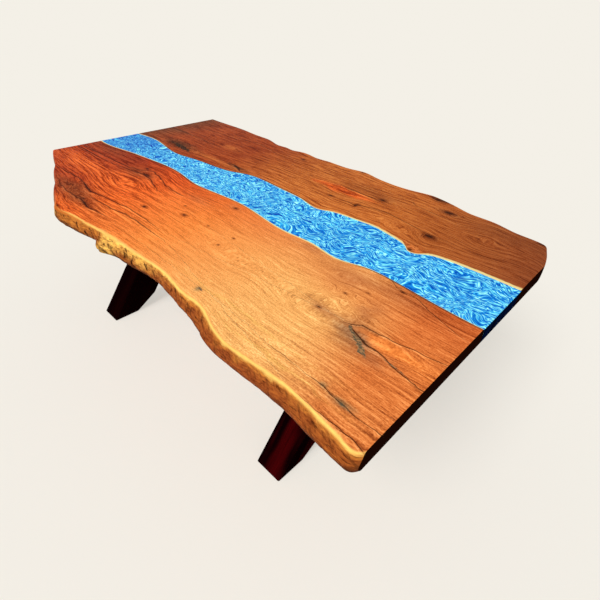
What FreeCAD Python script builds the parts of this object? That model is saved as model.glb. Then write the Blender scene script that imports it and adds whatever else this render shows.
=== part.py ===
"""Live edge dining table: two timber slabs joined by a poured resin river, on two crossed-leg frames.

Millimetres, +Z up. X runs along the table, -Y is the near side, and the origin is on the floor
under the middle of the top. Every sub-part is written to parts/NODE.step.
"""
import FreeCAD, Part
import math
import os

os.makedirs("parts", exist_ok=True)

# ---------------------------------------------------------------- table top
top_length = 2100.0            # between the two sawn ends
table_height = 750.0           # floor to the top surface
slab_thickness = 58.0
near_reach = 582.0             # centre line to the near live edge, on average
far_reach = 566.0              # centre line to the far live edge, on average
river_near_reach = 86.0        # centre line to the river's near bank, on average
river_far_reach = 130.0        # centre line to the river's far bank, on average
river_batter = 14.0            # how far each bank leans under the resin, over the thickness
arris_round = 7.0              # eased edge where the top surface meets the wane
wane_belly_height = 22.0       # the wane is fattest this far above the underside
wane_undercut = 7.0            # the wane tucks back in by this much below its belly
end_chamfer = 1.5              # eased edges of the sawn ends
edge_count = 8                 # a long edge is one smooth curve in this many pieces

# Each edge is drawn at stations from -1 (left end) to 1 (right end). The second value is how far
# the edge stands out from its average reach there, the third how far the wane flares below it.
near_live_edge = [
    (-1.030, -227, 5), (-0.920, -182, 5), (-0.820, -150, 5), (-0.720, -104, 6), (-0.630, -75, 7),
    (-0.540, -33, 9), (-0.457, -6, 12), (-0.357, 28, 8), (-0.286, 12, 17), (-0.195, 0, 13),
    (-0.150, -6, 7), (-0.108, -15, 24), (-0.070, -20, 44), (-0.038, -24, 40), (-0.010, -25, 29),
    (0.050, -28, 24), (0.133, -32, 18),
    (0.271, -35, 15), (0.352, -22, 18), (0.457, -18, 27), (0.533, 8, 24), (0.610, 21, 14),
    (0.705, 13, 18), (0.795, 8, 21), (0.905, 19, 22), (0.980, 29, 14), (1.030, 30, 11),
]
far_live_edge = [
    (-1.030, 30, 9), (-0.830, 32, 11), (-0.700, 32, 9), (-0.590, 23, 8), (-0.476, 18, 6),
    (-0.381, -6, 10), (-0.334, -1, 12), (-0.287, -7, 14), (-0.248, 6, 12), (-0.178, 9, 9),
    (-0.131, 1, 8), (-0.057, 9, 7), (0.030, 9, 8), (0.081, 16, 7), (0.143, 29, 5), (0.200, 18, 9),
    (0.286, 6, 12), (0.400, 14, 9), (0.490, 32, 6), (0.534, 26, 8), (0.595, 11, 10),
    (0.667, -11, 13), (0.762, -14, 9), (0.848, -36, 11), (0.932, -43, 9), (0.954, -52, 7),
    (0.968, -80, 7), (0.986, -134, 7), (1.002, -191, 7), (1.019, -246, 7),
]
river_near_bank = [
    (-1.030, 32), (-0.857, 31), (-0.752, 10), (-0.610, -9), (-0.448, -23), (-0.362, -17),
    (-0.238, 2), (-0.124, -4), (0.038, -17), (0.143, -7), (0.314, 10), (0.429, 3), (0.533, 15),
    (0.571, 7), (0.619, -9), (0.714, -15), (0.819, -7), (0.924, -1), (1.030, -3),
]
river_far_bank = [
    (-1.030, -52), (-0.952, -38), (-0.867, -29), (-0.743, -46), (-0.581, -66), (-0.476, -46),
    (-0.314, -29), (-0.248, -13), (-0.181, 17), (-0.057, 28), (0.057, 21), (0.162, 12),
    (0.224, -5), (0.265, -5), (0.300, 12), (0.410, 32), (0.490, 40), (0.544, 31), (0.600, 19),
    (0.638, 0), (0.657, -18), (0.681, -17), (0.710, 6), (0.745, 20), (0.808, 30), (0.905, 35),
    (1.030, 38),
]

# Cracks and knots filled with dark resin: start station, distance in from the edge, end station,
# distance in from the edge, and width. Near ones count from the near reach, far ones from the river.
near_voids = [
    (0.752, 254, 0.862, 180, 24), (0.828, 226, 0.986, 202, 9),
    (0.880, 46, 0.925, 39, 10), (0.374, 67, 0.400, 60, 12),
]
far_voids = [(-0.795, 28, -0.571, -4, 44), (-0.312, 56, -0.232, 24, 16)]
void_depth = 12.0

# ---------------------------------------------------------------- leg frames
frame_spacing = 1242.0         # between the middles of the two frames
leg_thickness = 118.0          # along the table
leg_width = 150.0              # across the leg, square to its length
foot_span = 930.0              # across the outer edges of a frame's two feet
head_span = 409.0              # across the outer edges of its two heads, under the bearer
foot_flat = 131.0              # the part of the foot that stands on the floor
heel_angle = 32.0              # degrees, the snipped inner corner of the foot
leg_ease = 3.0                 # chamfer along the legs' long edges
pad_thickness = 3.0            # felt under each foot
pad_inset = 9.0
bearer_length = 900.0          # cross rail between a frame and the top
bearer_height = 50.0
bearer_width = 118.0
bearer_end_run = 60.0          # sloped ends of the bearer's underside
bearer_end_rise = 26.0

# ---------------------------------------------------------------- steel channels let into the top
channel_near_inset = 212.0     # a channel stops this far inside the near reach
channel_far_inset = 156.0      # and this far inside the far reach
channel_width = 50.0
channel_height = 16.0
channel_wall = 4.0
channel_side_gap = 1.0
channel_end_gap = 5.0
channel_bolt_end = 50.0        # outer bolts to the channel's ends
channel_bolt_bank = 92.0       # inner bolts to the river's average banks

# ---------------------------------------------------------------- fasteners
bolt_radius = 4.0              # M8 bolts through the bearers
bolt_head_flats = 13.0
bolt_head_height = 5.3
bolt_clearance = 0.5
bolt_slot_travel = 8.0         # extra length of a slot, so that the slabs can move
washer_radius = 12.0
washer_thickness = 2.0
insert_radius = 7.0
insert_length = 20.0
insert_gap = 0.1               # between an insert and its hole
thread_gap = 0.1               # between a bolt and its insert
bearer_bolt_offset = 30.0      # bolts stand this far either side of the bearer's middle
bearer_bolt_end = 25.0         # outer bolts to where the bearer's sloped end begins
channel_bolt_radius = 3.0      # M6 flange bolts
channel_flange_radius = 7.0
channel_flange_height = 1.5
channel_head_flats = 8.0
channel_head_height = 4.5
channel_insert_radius = 5.5
channel_insert_length = 15.0
drill_relief = 2.0             # every blind hole is drilled this much deeper than what it takes
round_side_count = 10          # round bars and holes of fasteners are drawn with this many sides
lap_bolt_radius = 6.0          # M12 bolt through each half-lap
lap_head_flats = 18.0
lap_head_height = 7.5
lap_nut_height = 10.0
lap_washer_radius = 14.0
lap_washer_thickness = 2.5
lap_bolt_tip = 1.0             # thread that shows past the nut
lap_pocket_radius = 16.0
lap_pocket_depth = 26.0
plug_thickness = 10.0
plug_gap = 0.1
dowel_radius = 6.0
dowel_length = 60.0
dowel_gap = 0.1
dowel_offset = 36.0            # dowels stand this far either side of the frame's middle
lag_radius = 4.0
lag_length = 120.0
lag_head_radius = 8.0
lag_head_height = 5.0
lag_pocket_radius = 10.0
lag_pocket_depth = 9.0
lag_gap = 0.2

# ---------------------------------------------------------------- worked out from the above
half_length = top_length / 2
underside = table_height - slab_thickness
bearer_bottom = underside - bearer_height
frame_x = {"left": -frame_spacing / 2, "right": frame_spacing / 2}
channel_x = {
    "left": -(frame_spacing / 2 + half_length) / 2,
    "centre": 0.0,
    "right": (frame_spacing / 2 + half_length) / 2,
}
channel_near_end = channel_near_inset - near_reach
channel_far_end = far_reach - channel_far_inset
# A leg crosses from the outside of one foot to the outside of the opposite head. lean_run is how
# far it moves sideways for each millimetre of height.
leg_rise = bearer_bottom - pad_thickness
leg_travel = (foot_span + head_span) / 2
leg_diagonal = math.sqrt(leg_travel**2 + leg_rise**2 - leg_width**2)
lean_run = (leg_travel * leg_rise - leg_width * leg_diagonal) / (leg_rise**2 - leg_width**2)
leg_slice = leg_width * math.sqrt(1 + lean_run**2)
lap_height = pad_thickness + (foot_span - leg_slice) / 2 / lean_run
leg_top_middle = (head_span - leg_slice) / 2
bearer_bolt_outer = bearer_length / 2 - bearer_end_run - bearer_bolt_end
bearer_bolt_inner = (head_span / 2 + bearer_bolt_outer) / 2
along_x = FreeCAD.Vector(1, 0, 0)
along_y = FreeCAD.Vector(0, 1, 0)
upward = FreeCAD.Vector(0, 0, 1)


def point(x, y, z):
    """A position in the table's frame."""
    return FreeCAD.Vector(x, y, z)


def box(low, high):
    """A block between two opposite corners."""
    size = high - low
    return Part.makeBox(size.x, size.y, size.z, low)


def bar(flats, radius, length, start, axis):
    """A regular bar that begins at start and runs along axis, given by its corners' radius."""
    corners = []
    for step in range(flats + 1):
        angle = 2 * math.pi * step / flats
        corners.append(point(radius * math.cos(angle), radius * math.sin(angle), 0))
    shape = Part.Face(Part.makePolygon(corners)).extrude(upward * length)
    shape.Placement = FreeCAD.Placement(start, FreeCAD.Rotation(upward, axis))
    return shape


def rod(radius, length, start, axis=upward):
    """A round bar or hole of a fastener, kept light with a few flats."""
    return bar(round_side_count, radius, length, start, axis)


def tube(radius, bore, length, start, axis=upward):
    """A rod with a hole through it."""
    return rod(radius, length, start, axis).cut(rod(bore, length, start, axis))


def hexagon(flats, length, start, axis=upward):
    """A bolt head or nut, given across its flats."""
    return bar(6, flats / math.sqrt(3), length, start, axis)


def prism(outline, x_start, x_length):
    """A shape drawn in the YZ plane as (y, z) corners and carried along X."""
    corners = [point(x_start, y, z) for y, z in outline]
    return Part.Face(Part.makePolygon(corners + corners[:1])).extrude(along_x * x_length)


def group(solids):
    """Separate solids that share one node."""
    return solids[0] if len(solids) == 1 else Part.makeCompound(solids)


# ---------------------------------------------------------------- slabs and river
def long_curve(points):
    """A smooth curve through the points of a long edge, as a chain of edges from left to right."""
    curve = Part.BSplineCurve()
    curve.interpolate(points)
    knots = curve.getKnots()
    last = len(knots) - 1
    cuts = [knots[round(last * step / edge_count)] for step in range(edge_count + 1)]
    chain = []
    for start, end in zip(cuts, cuts[1:]):
        length = curve.copy()
        length.segment(start, end)
        chain.append(length.toShape())
    return chain


def edge_points(profile, reach, side, height, offset, flare_share):
    """Points of one long edge at one height: side is -1 for the near half and 1 for the far half."""
    points = []
    for station, deviation, flare in profile:
        outward = reach + deviation + offset + flare_share * flare
        points.append(point(station * half_length, side * outward, height))
    return points


def slab_section(profile, reach, side, height, offset, flare_share):
    """Closed outline of a slab blank at one height, from the live edge to the centre line."""
    points = edge_points(profile, reach, side, height, offset, flare_share)
    first_corner = point(points[0].x, 0, height)
    last_corner = point(points[-1].x, 0, height)
    back = Part.makePolygon([points[-1], last_corner, first_corner, points[0]])
    return Part.Wire(long_curve(points) + back.Edges)


def slab_blank(profile, reach, side):
    """A slab as it comes off the saw mill: a wane with a belly, and an eased upper arris."""
    levels = [
        (underside, -wane_undercut, 1.0),
        (underside + wane_belly_height, 0.0, 1.0),
        (table_height - arris_round, 0.0, 0.0),
        (table_height, -arris_round, 0.0),
    ]
    sections = []
    for height, offset, flare_share in levels:
        sections.append(slab_section(profile, reach, side, height, offset, flare_share))
    return Part.makeLoft(sections, True, True)


def river_section(height, spread):
    """Closed outline of the river at one height, narrower by spread on each bank."""
    near = [point(s * half_length, -(river_near_reach + d - spread), height) for s, d in river_near_bank]
    far = [point(s * half_length, river_far_reach + d - spread, height) for s, d in river_far_bank]
    right_end = Part.LineSegment(near[-1], far[-1]).toShape()
    left_end = Part.LineSegment(far[0], near[0]).toShape()
    return Part.Wire(long_curve(near) + [right_end] + long_curve(far)[::-1] + [left_end])


def river_blank():
    """The poured resin before the ends are sawn. Its banks lean in towards the underside."""
    sections = [river_section(underside, river_batter), river_section(table_height, 0.0)]
    return Part.makeLoft(sections, True, True)


def sawn_block():
    """What the finished top is sawn from: straight ends with eased edges, wide enough for all."""
    reach = 2 * max(near_reach, far_reach)
    block = box(point(-half_length, -reach, underside), point(half_length, reach, table_height))
    end_edges = [e for e in block.Edges if abs(e.CenterOfMass.x) > half_length - 1 and e.Length > reach]
    return block.makeChamfer(end_chamfer, end_edges)


def lens(start, end, width, depth):
    """A pointed crack shape between two points of the top surface, sunk to a depth."""
    chord = end - start
    across = point(-chord.y, chord.x, 0).normalize() * (width / 2)
    middle = (start + end) / 2
    sides = [
        Part.Arc(start, middle + across, end).toShape(),
        Part.Arc(end, middle - across, start).toShape(),
    ]
    return Part.Face(Part.Wire(sides)).extrude(upward * -depth)


def near_void_shapes():
    """Filled cracks in the near slab."""
    shapes = []
    for station_a, inward_a, station_b, inward_b, width in near_voids:
        start = point(station_a * half_length, inward_a - near_reach, table_height)
        end = point(station_b * half_length, inward_b - near_reach, table_height)
        shapes.append(lens(start, end, width, void_depth))
    return shapes


def far_void_shapes():
    """Filled knots in the far slab."""
    shapes = []
    for station_a, inward_a, station_b, inward_b, width in far_voids:
        start = point(station_a * half_length, river_far_reach + inward_a, table_height)
        end = point(station_b * half_length, river_far_reach + inward_b, table_height)
        shapes.append(lens(start, end, width, void_depth))
    return shapes


# ---------------------------------------------------------------- steel channels
def channel_bolt_points():
    """Where the flange bolts of every channel stand, on the underside: two in each slab."""
    lines = (
        channel_near_end + channel_bolt_end,
        -river_near_reach - channel_bolt_bank,
        river_far_reach + channel_bolt_bank,
        channel_far_end - channel_bolt_end,
    )
    return [point(x, y, underside) for x in channel_x.values() for y in lines]


def slot(radius, travel, height, middle):
    """An upright slotted hole whose long way runs across the table."""
    shape = box(
        middle - point(radius, travel / 2, 0),
        middle + point(radius, travel / 2, height),
    )
    for side in (-1, 1):
        shape = shape.fuse(rod(radius, height, middle + along_y * (side * travel / 2)))
    return shape.removeSplitter()


def steel_channel(x):
    """A C section with its flanges up in the wood and its web flush with the underside."""
    low = point(x - channel_width / 2, channel_near_end, underside)
    high = point(x + channel_width / 2, channel_far_end, underside + channel_height)
    hollow_low = low + point(channel_wall, 0, channel_wall)
    hollow_high = high - point(channel_wall, 0, 0)
    shape = box(low, high).cut(box(hollow_low, hollow_high))
    for middle in channel_bolt_points():
        if middle.x == x:
            hole = slot(channel_bolt_radius + bolt_clearance, bolt_slot_travel, channel_wall, middle)
            shape = shape.cut(hole)
    return shape


def channel_groove(x):
    """The housing routed for one channel: a shallow bed for the web and a slot for each flange."""
    half_width = channel_width / 2 + channel_side_gap
    near_end = channel_near_end - channel_end_gap
    far_end = channel_far_end + channel_end_gap
    bed_top = underside + channel_wall
    groove = box(point(x - half_width, near_end, underside), point(x + half_width, far_end, bed_top))
    slot_width = channel_wall + 2 * channel_side_gap
    slot_top = underside + channel_height + channel_side_gap
    for slot_x in (x - half_width, x + half_width - slot_width):
        flange_slot = box(point(slot_x, near_end, underside), point(slot_x + slot_width, far_end, slot_top))
        groove = groove.fuse(flange_slot)
    return groove.removeSplitter()


def channel_inserts():
    """Threaded inserts above the channels' webs."""
    lift = upward * channel_wall
    bore = channel_bolt_radius + thread_gap
    length = channel_insert_length
    return [tube(channel_insert_radius, bore, length, p + lift) for p in channel_bolt_points()]


def channel_insert_holes():
    """Blind holes for those inserts, drilled from the bed of the groove."""
    lift = upward * channel_wall
    radius = channel_insert_radius + insert_gap
    depth = channel_insert_length + drill_relief
    return [rod(radius, depth, p + lift) for p in channel_bolt_points()]


def channel_bolts():
    """Flange bolts that hold the channels up against the wood."""
    bolts = []
    for seat in channel_bolt_points():
        flange = rod(channel_flange_radius, channel_flange_height, seat - upward * channel_flange_height)
        head_start = seat - upward * (channel_flange_height + channel_head_height)
        head = hexagon(channel_head_flats, channel_head_height, head_start)
        shank = rod(channel_bolt_radius, channel_wall + channel_insert_length, seat)
        bolts.append(head.fuse([flange, shank]).removeSplitter())
    return bolts


# ---------------------------------------------------------------- leg frames
def leg_outline():
    """Side view of the leg whose foot is on the near side, as (y, z) corners."""
    outer_foot = -foot_span / 2
    heel = math.radians(heel_angle)
    heel_cut = (leg_slice - foot_flat) / (math.cos(heel) - lean_run * math.sin(heel))
    return [
        (outer_foot, pad_thickness),
        (outer_foot + foot_flat, pad_thickness),
        (outer_foot + foot_flat + heel_cut * math.cos(heel), pad_thickness + heel_cut * math.sin(heel)),
        (head_span / 2, bearer_bottom),
        (head_span / 2 - leg_slice, bearer_bottom),
    ]


def whole_leg(side, x):
    """One leg before its lap is cut. Side -1 has its foot near, side 1 has it far."""
    outline = [(-side * y, z) for y, z in leg_outline()]
    leg = prism(outline, x - leg_thickness / 2, leg_thickness)
    long_edges = []
    for edge in leg.Edges:
        middle = edge.CenterOfMass
        on_face = abs(abs(middle.x - x) - leg_thickness / 2) < 1e-6
        on_end = abs(middle.z - pad_thickness) < 1e-6 or abs(middle.z - bearer_bottom) < 1e-6
        if on_face and not on_end:
            long_edges.append(edge)
    return leg.makeChamfer(leg_ease, long_edges)


def lap_hole(x):
    """The bolt hole through a half-lap, with a pocket at each side for the head and the nut."""
    face = leg_thickness / 2
    hole = rod(lap_bolt_radius + bolt_clearance, leg_thickness, point(x - face, 0, lap_height), along_x)
    for start in (x - face, x + face - lap_pocket_depth):
        pocket = rod(lap_pocket_radius, lap_pocket_depth, point(start, 0, lap_height), along_x)
        hole = hole.fuse(pocket)
    return hole


def leg_top_points(x, side):
    """Middle of a leg's top end, under the bearer. Side as in whole_leg."""
    return point(x, -side * leg_top_middle, bearer_bottom)


def leg(side, x):
    """A finished leg. The near leg keeps the left half of the lap and the far leg the right half."""
    other = whole_leg(-side, x)
    reach = foot_span
    if side < 0:
        removed = box(point(x, -reach, 0), point(x + leg_thickness, reach, table_height))
    else:
        removed = box(point(x - leg_thickness, -reach, 0), point(x, reach, table_height))
    shape = whole_leg(side, x).cut(other.common(removed))
    shape = shape.cut(lap_hole(x))
    top = leg_top_points(x, side)
    for offset in (-dowel_offset, dowel_offset):
        depth = dowel_length / 2 + drill_relief
        shape = shape.cut(rod(dowel_radius + dowel_gap, depth, top + point(offset, 0, -depth)))
    lag_depth = lag_length - (bearer_height - lag_pocket_depth) + drill_relief
    return shape.cut(rod(lag_radius + lag_gap, lag_depth, top - upward * lag_depth))


def bearer_bolt_points(x):
    """Bolts of one bearer, on its underside: two each side, one either side of its middle."""
    points = []
    for side in (-1, 1):
        points.append(point(x - bearer_bolt_offset, side * bearer_bolt_inner, bearer_bottom))
        points.append(point(x + bearer_bolt_offset, side * bearer_bolt_outer, bearer_bottom))
    return points


def bearer(x):
    """The cross rail that a frame carries and the top is bolted to."""
    half = bearer_length / 2
    outline = [
        (-half, bearer_bottom + bearer_end_rise),
        (-half + bearer_end_run, bearer_bottom),
        (half - bearer_end_run, bearer_bottom),
        (half, bearer_bottom + bearer_end_rise),
        (half, underside),
        (-half, underside),
    ]
    shape = prism(outline, x - bearer_width / 2, bearer_width)
    for seat in bearer_bolt_points(x):
        shape = shape.cut(slot(bolt_radius + bolt_clearance, bolt_slot_travel, bearer_height, seat))
    for side in (-1, 1):
        top = leg_top_points(x, side)
        for offset in (-dowel_offset, dowel_offset):
            depth = dowel_length / 2 + drill_relief
            shape = shape.cut(rod(dowel_radius + dowel_gap, depth, top + along_x * offset))
        shape = shape.cut(rod(lag_radius + lag_gap, bearer_height, top))
        pocket_start = top + upward * (bearer_height - lag_pocket_depth)
        shape = shape.cut(rod(lag_pocket_radius, lag_pocket_depth, pocket_start))
    return shape


def frame_dowels(x):
    """Glued dowels between the legs and the bearer."""
    dowels = []
    for side in (-1, 1):
        for offset in (-dowel_offset, dowel_offset):
            start = leg_top_points(x, side) + point(offset, 0, -dowel_length / 2)
            dowels.append(rod(dowel_radius, dowel_length, start))
    return dowels


def frame_lag_screws(x):
    """Screws driven down through the bearer into the legs."""
    screws = []
    for side in (-1, 1):
        seat = leg_top_points(x, side) + upward * (bearer_height - lag_pocket_depth)
        shank = rod(lag_radius, lag_length, seat - upward * lag_length)
        screws.append(shank.fuse(rod(lag_head_radius, lag_head_height, seat)).removeSplitter())
    return screws


def bearer_washers(x):
    """Washers under the heads of the bearer bolts."""
    bore = bolt_radius + bolt_clearance
    drop = upward * washer_thickness
    return [tube(washer_radius, bore, washer_thickness, p - drop) for p in bearer_bolt_points(x)]


def bearer_bolts(x):
    """Hexagon bolts up through a bearer into the slabs."""
    bolts = []
    for seat in bearer_bolt_points(x):
        head_top = seat - upward * washer_thickness
        head = hexagon(bolt_head_flats, bolt_head_height, head_top - upward * bolt_head_height)
        shank = rod(bolt_radius, washer_thickness + bearer_height + insert_length, head_top)
        bolts.append(head.fuse(shank).removeSplitter())
    return bolts


def bearer_inserts(x):
    """Threaded inserts in the slabs' undersides for the bearer bolts."""
    lift = upward * bearer_height
    bore = bolt_radius + thread_gap
    return [tube(insert_radius, bore, insert_length, p + lift) for p in bearer_bolt_points(x)]


def bearer_insert_holes(x):
    """Blind holes for those inserts."""
    lift = upward * bearer_height
    depth = insert_length + drill_relief
    return [rod(insert_radius + insert_gap, depth, p + lift) for p in bearer_bolt_points(x)]


def lap_washers(x):
    """Washers at the bottom of both pockets of a half-lap."""
    seat = leg_thickness / 2 - lap_pocket_depth
    bore = lap_bolt_radius + bolt_clearance
    starts = [point(x - seat - lap_washer_thickness, 0, lap_height), point(x + seat, 0, lap_height)]
    return [tube(lap_washer_radius, bore, lap_washer_thickness, start, along_x) for start in starts]


def lap_bolt(x):
    """The bolt through a half-lap, with its head on the left."""
    grip = leg_thickness - 2 * lap_pocket_depth + 2 * lap_washer_thickness
    start = point(x - grip / 2, 0, lap_height)
    shank = rod(lap_bolt_radius, grip + lap_nut_height + lap_bolt_tip, start, along_x)
    head = hexagon(lap_head_flats, lap_head_height, start - along_x * lap_head_height, along_x)
    return head.fuse(shank).removeSplitter()


def lap_nut(x):
    """The nut on the right of a half-lap."""
    grip = leg_thickness - 2 * lap_pocket_depth + 2 * lap_washer_thickness
    start = point(x + grip / 2, 0, lap_height)
    nut = hexagon(lap_head_flats, lap_nut_height, start, along_x)
    return nut.cut(rod(lap_bolt_radius + thread_gap, lap_nut_height, start, along_x))


def lap_plugs(x):
    """Turned wooden plugs that close the pockets, flush with the legs."""
    face = leg_thickness / 2
    radius = lap_pocket_radius - plug_gap
    starts = (x - face, x + face - plug_thickness)
    return [rod(radius, plug_thickness, point(s, 0, lap_height), along_x) for s in starts]


def foot_pads(x):
    """Felt under both feet of a frame."""
    pads = []
    half_depth = leg_thickness / 2 - pad_inset
    for side in (-1, 1):
        outer = side * (foot_span / 2 - pad_inset)
        inner = side * (foot_span / 2 - foot_flat + pad_inset)
        low = point(x - half_depth, min(outer, inner), 0)
        high = point(x + half_depth, max(outer, inner), pad_thickness)
        pads.append(box(low, high))
    return pads


# ---------------------------------------------------------------- assembly
def table_top():
    """Both slabs, the river, and the fills, with every housing cut."""
    block = sawn_block()
    river = river_blank().common(block)
    housings = [channel_groove(x) for x in channel_x.values()]
    housings += channel_insert_holes()
    for x in frame_x.values():
        housings += bearer_insert_holes(x)
    near_fills = near_void_shapes()
    far_fills = far_void_shapes()
    near_slab = slab_blank(near_live_edge, near_reach, -1).common(block).cut(river)
    far_slab = slab_blank(far_live_edge, far_reach, 1).common(block).cut(river)
    return {
        "near_slab": near_slab.cut(housings + near_fills),
        "far_slab": far_slab.cut(housings + far_fills),
        "river_resin": river.cut(housings),
        "near_void_fills": group([fill.common(block) for fill in near_fills]),
        "far_void_fills": group([fill.common(block) for fill in far_fills]),
    }


def both_frames(maker):
    """The pieces that maker gives for each frame, in one node."""
    pieces = []
    for x in frame_x.values():
        made = maker(x)
        pieces += made if isinstance(made, list) else [made]
    return group(pieces)


def all_nodes():
    """Every sub-part by the name of its node."""
    nodes = table_top()
    for name, x in channel_x.items():
        nodes[name + "_channel"] = steel_channel(x)
    nodes["channel_inserts"] = group(channel_inserts())
    nodes["channel_bolts"] = group(channel_bolts())
    for name, x in frame_x.items():
        nodes[name + "_near_leg"] = leg(-1, x)
        nodes[name + "_far_leg"] = leg(1, x)
        nodes[name + "_bearer"] = bearer(x)
    nodes["bearer_bolts"] = both_frames(bearer_bolts)
    nodes["bearer_washers"] = both_frames(bearer_washers)
    nodes["bearer_inserts"] = both_frames(bearer_inserts)
    nodes["leg_dowels"] = both_frames(frame_dowels)
    nodes["leg_lag_screws"] = both_frames(frame_lag_screws)
    nodes["lap_bolts"] = both_frames(lap_bolt)
    nodes["lap_nuts"] = both_frames(lap_nut)
    nodes["lap_washers"] = both_frames(lap_washers)
    nodes["lap_plugs"] = both_frames(lap_plugs)
    nodes["foot_pads"] = both_frames(foot_pads)
    return nodes


def write_table():
    """Centre the table over its origin and write one file for each node."""
    nodes = all_nodes()
    extent = nodes["near_slab"].optimalBoundingBox(False, False)
    extent.add(nodes["far_slab"].optimalBoundingBox(False, False))
    to_centre = along_y * -extent.Center.y
    for name, shape in nodes.items():
        shape.translate(to_centre)
        shape.exportStep("parts/" + name + ".step")
        solids = len(shape.Solids)
        print(f"{name}: {solids} solid(s), {shape.Volume / 1000:.1f} cm3, valid {shape.isValid()}")
    print(f"top {extent.XLength:.1f} x {extent.YLength:.1f} mm, moved {to_centre.y:.2f} in Y")


write_table()
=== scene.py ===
"""Live edge dining table: its timber, resin, steel and felt, dressed over the fixed frame.

Metres in the part's own frame: X along the table, -Y the near side, Z up from the floor. Sizes that
describe the timber's figure are in millimetres from the middle of the top, and say so.
"""
import logging
import math
from collections.abc import Sequence
from dataclasses import dataclass, field
from enum import Enum
from typing import Any

import bmesh
import bpy
import numpy as np
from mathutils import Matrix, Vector
from numpy.typing import NDArray


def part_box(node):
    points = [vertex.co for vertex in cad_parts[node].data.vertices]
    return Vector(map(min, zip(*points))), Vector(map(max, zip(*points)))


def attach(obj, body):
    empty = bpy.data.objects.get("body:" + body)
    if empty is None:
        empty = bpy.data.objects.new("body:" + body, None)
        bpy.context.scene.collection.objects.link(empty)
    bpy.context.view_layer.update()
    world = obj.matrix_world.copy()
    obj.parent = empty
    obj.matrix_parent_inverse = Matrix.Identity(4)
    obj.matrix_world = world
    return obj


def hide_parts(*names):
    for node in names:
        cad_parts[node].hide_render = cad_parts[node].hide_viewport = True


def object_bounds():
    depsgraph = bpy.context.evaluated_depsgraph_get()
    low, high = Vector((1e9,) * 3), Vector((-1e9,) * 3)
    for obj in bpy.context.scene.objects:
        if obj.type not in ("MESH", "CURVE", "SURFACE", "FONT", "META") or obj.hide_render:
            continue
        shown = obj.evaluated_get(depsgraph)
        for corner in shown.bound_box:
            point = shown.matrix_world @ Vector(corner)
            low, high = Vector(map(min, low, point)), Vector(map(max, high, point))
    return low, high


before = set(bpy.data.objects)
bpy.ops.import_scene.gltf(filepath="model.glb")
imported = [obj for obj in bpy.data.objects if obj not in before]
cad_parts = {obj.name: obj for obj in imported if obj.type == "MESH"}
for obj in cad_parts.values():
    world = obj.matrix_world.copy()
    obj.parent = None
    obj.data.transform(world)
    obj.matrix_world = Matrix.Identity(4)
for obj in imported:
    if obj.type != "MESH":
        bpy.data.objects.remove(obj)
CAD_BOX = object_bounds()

Array = NDArray[np.float64]
Triple = tuple[float, float, float]
Colour = Triple
Stops = tuple[tuple[float, float], ...]

log = logging.getLogger("table")
MM = 0.001
CENTRE_SHIFT = 7.7  # the river's centre line stands this far behind the middle of the top, mm
ARRIS_RUN = 9.0  # the section of a live edge begins this far inside its arris, mm
TRACK_COUNT = 5  # cracks that a slab's finish has room for
FAR_FROM_TRACK = 9.0  # what a track says where no crack is near
FAR_FROM_KNOT = 4.0  # the same for the knots


class Side(Enum):
    """The two halves of the top, by the sign of Y."""

    NEAR = -1
    FAR = 1


def tint(red: int, green: int, blue: int) -> Colour:
    """A colour written as 0-255 screen values, turned into linear light.

    Args:
        red: Red, 0 to 255.
        green: Green, 0 to 255.
        blue: Blue, 0 to 255.

    Returns:
        The three linear values.
    """
    parts = np.array([red, green, blue]) / 255.0
    linear = np.where(parts <= 0.04045, parts / 12.92, ((parts + 0.055) / 1.055) ** 2.4)
    return (float(linear[0]), float(linear[1]), float(linear[2]))


class Tone(Enum):
    """The timber's colours, from its heartwood out to its bark. Some of them also carry the live
    edge's painted highlight and painted shade.
    """

    GARNET = tint(176, 56, 16)
    EMBER = tint(240, 102, 36)
    AMBER = tint(252, 138, 60)
    HONEY = tint(255, 180, 100)
    COPPER = tint(232, 126, 60)
    RUST = tint(160, 62, 20)
    TAN = tint(194, 101, 40)
    CHESTNUT = tint(180, 100, 56)
    UMBER = tint(142, 68, 32)
    MAHOGANY = tint(116, 56, 26)
    DRIFTWOOD = tint(150, 106, 74)
    MOSS = tint(120, 114, 80)
    GOLD = tint(252, 208, 110)
    SAND = tint(244, 186, 92)
    OCHRE = tint(196, 120, 50)
    BARK = tint(158, 84, 34)
    PEAT = tint(84, 44, 21)


ToneStops = tuple[tuple[float, Tone], ...]


# ---------------------------------------------------------------- fields over the timber
def soft_step(low: float, high: float, value: Array) -> Array:
    """Zero below low, one above high, and 3t2 - 2t3 between them."""
    share = np.clip((value - low) / (high - low), 0.0, 1.0)
    return share * share * (3.0 - 2.0 * share)


def between(place: Array, stops: Stops) -> Array:
    """Value at each place, straight from each (place, value) stop to the next."""
    return np.interp(place, *np.array(stops).T)


def blend_tones(place: Array, stops: ToneStops) -> Array:
    """Linear colour at each place, straight from each (place, tone) stop to the next.

    Args:
        place: Where each point is on the line.
        stops: Place and tone of each stop, in order.

    Returns:
        Linear colours, with three values for each point.
    """
    places = [stop for stop, _ in stops]
    shades = np.array([tone.value for _, tone in stops])
    return np.stack([np.interp(place, places, shades[:, band]) for band in range(3)], axis=-1)


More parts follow.
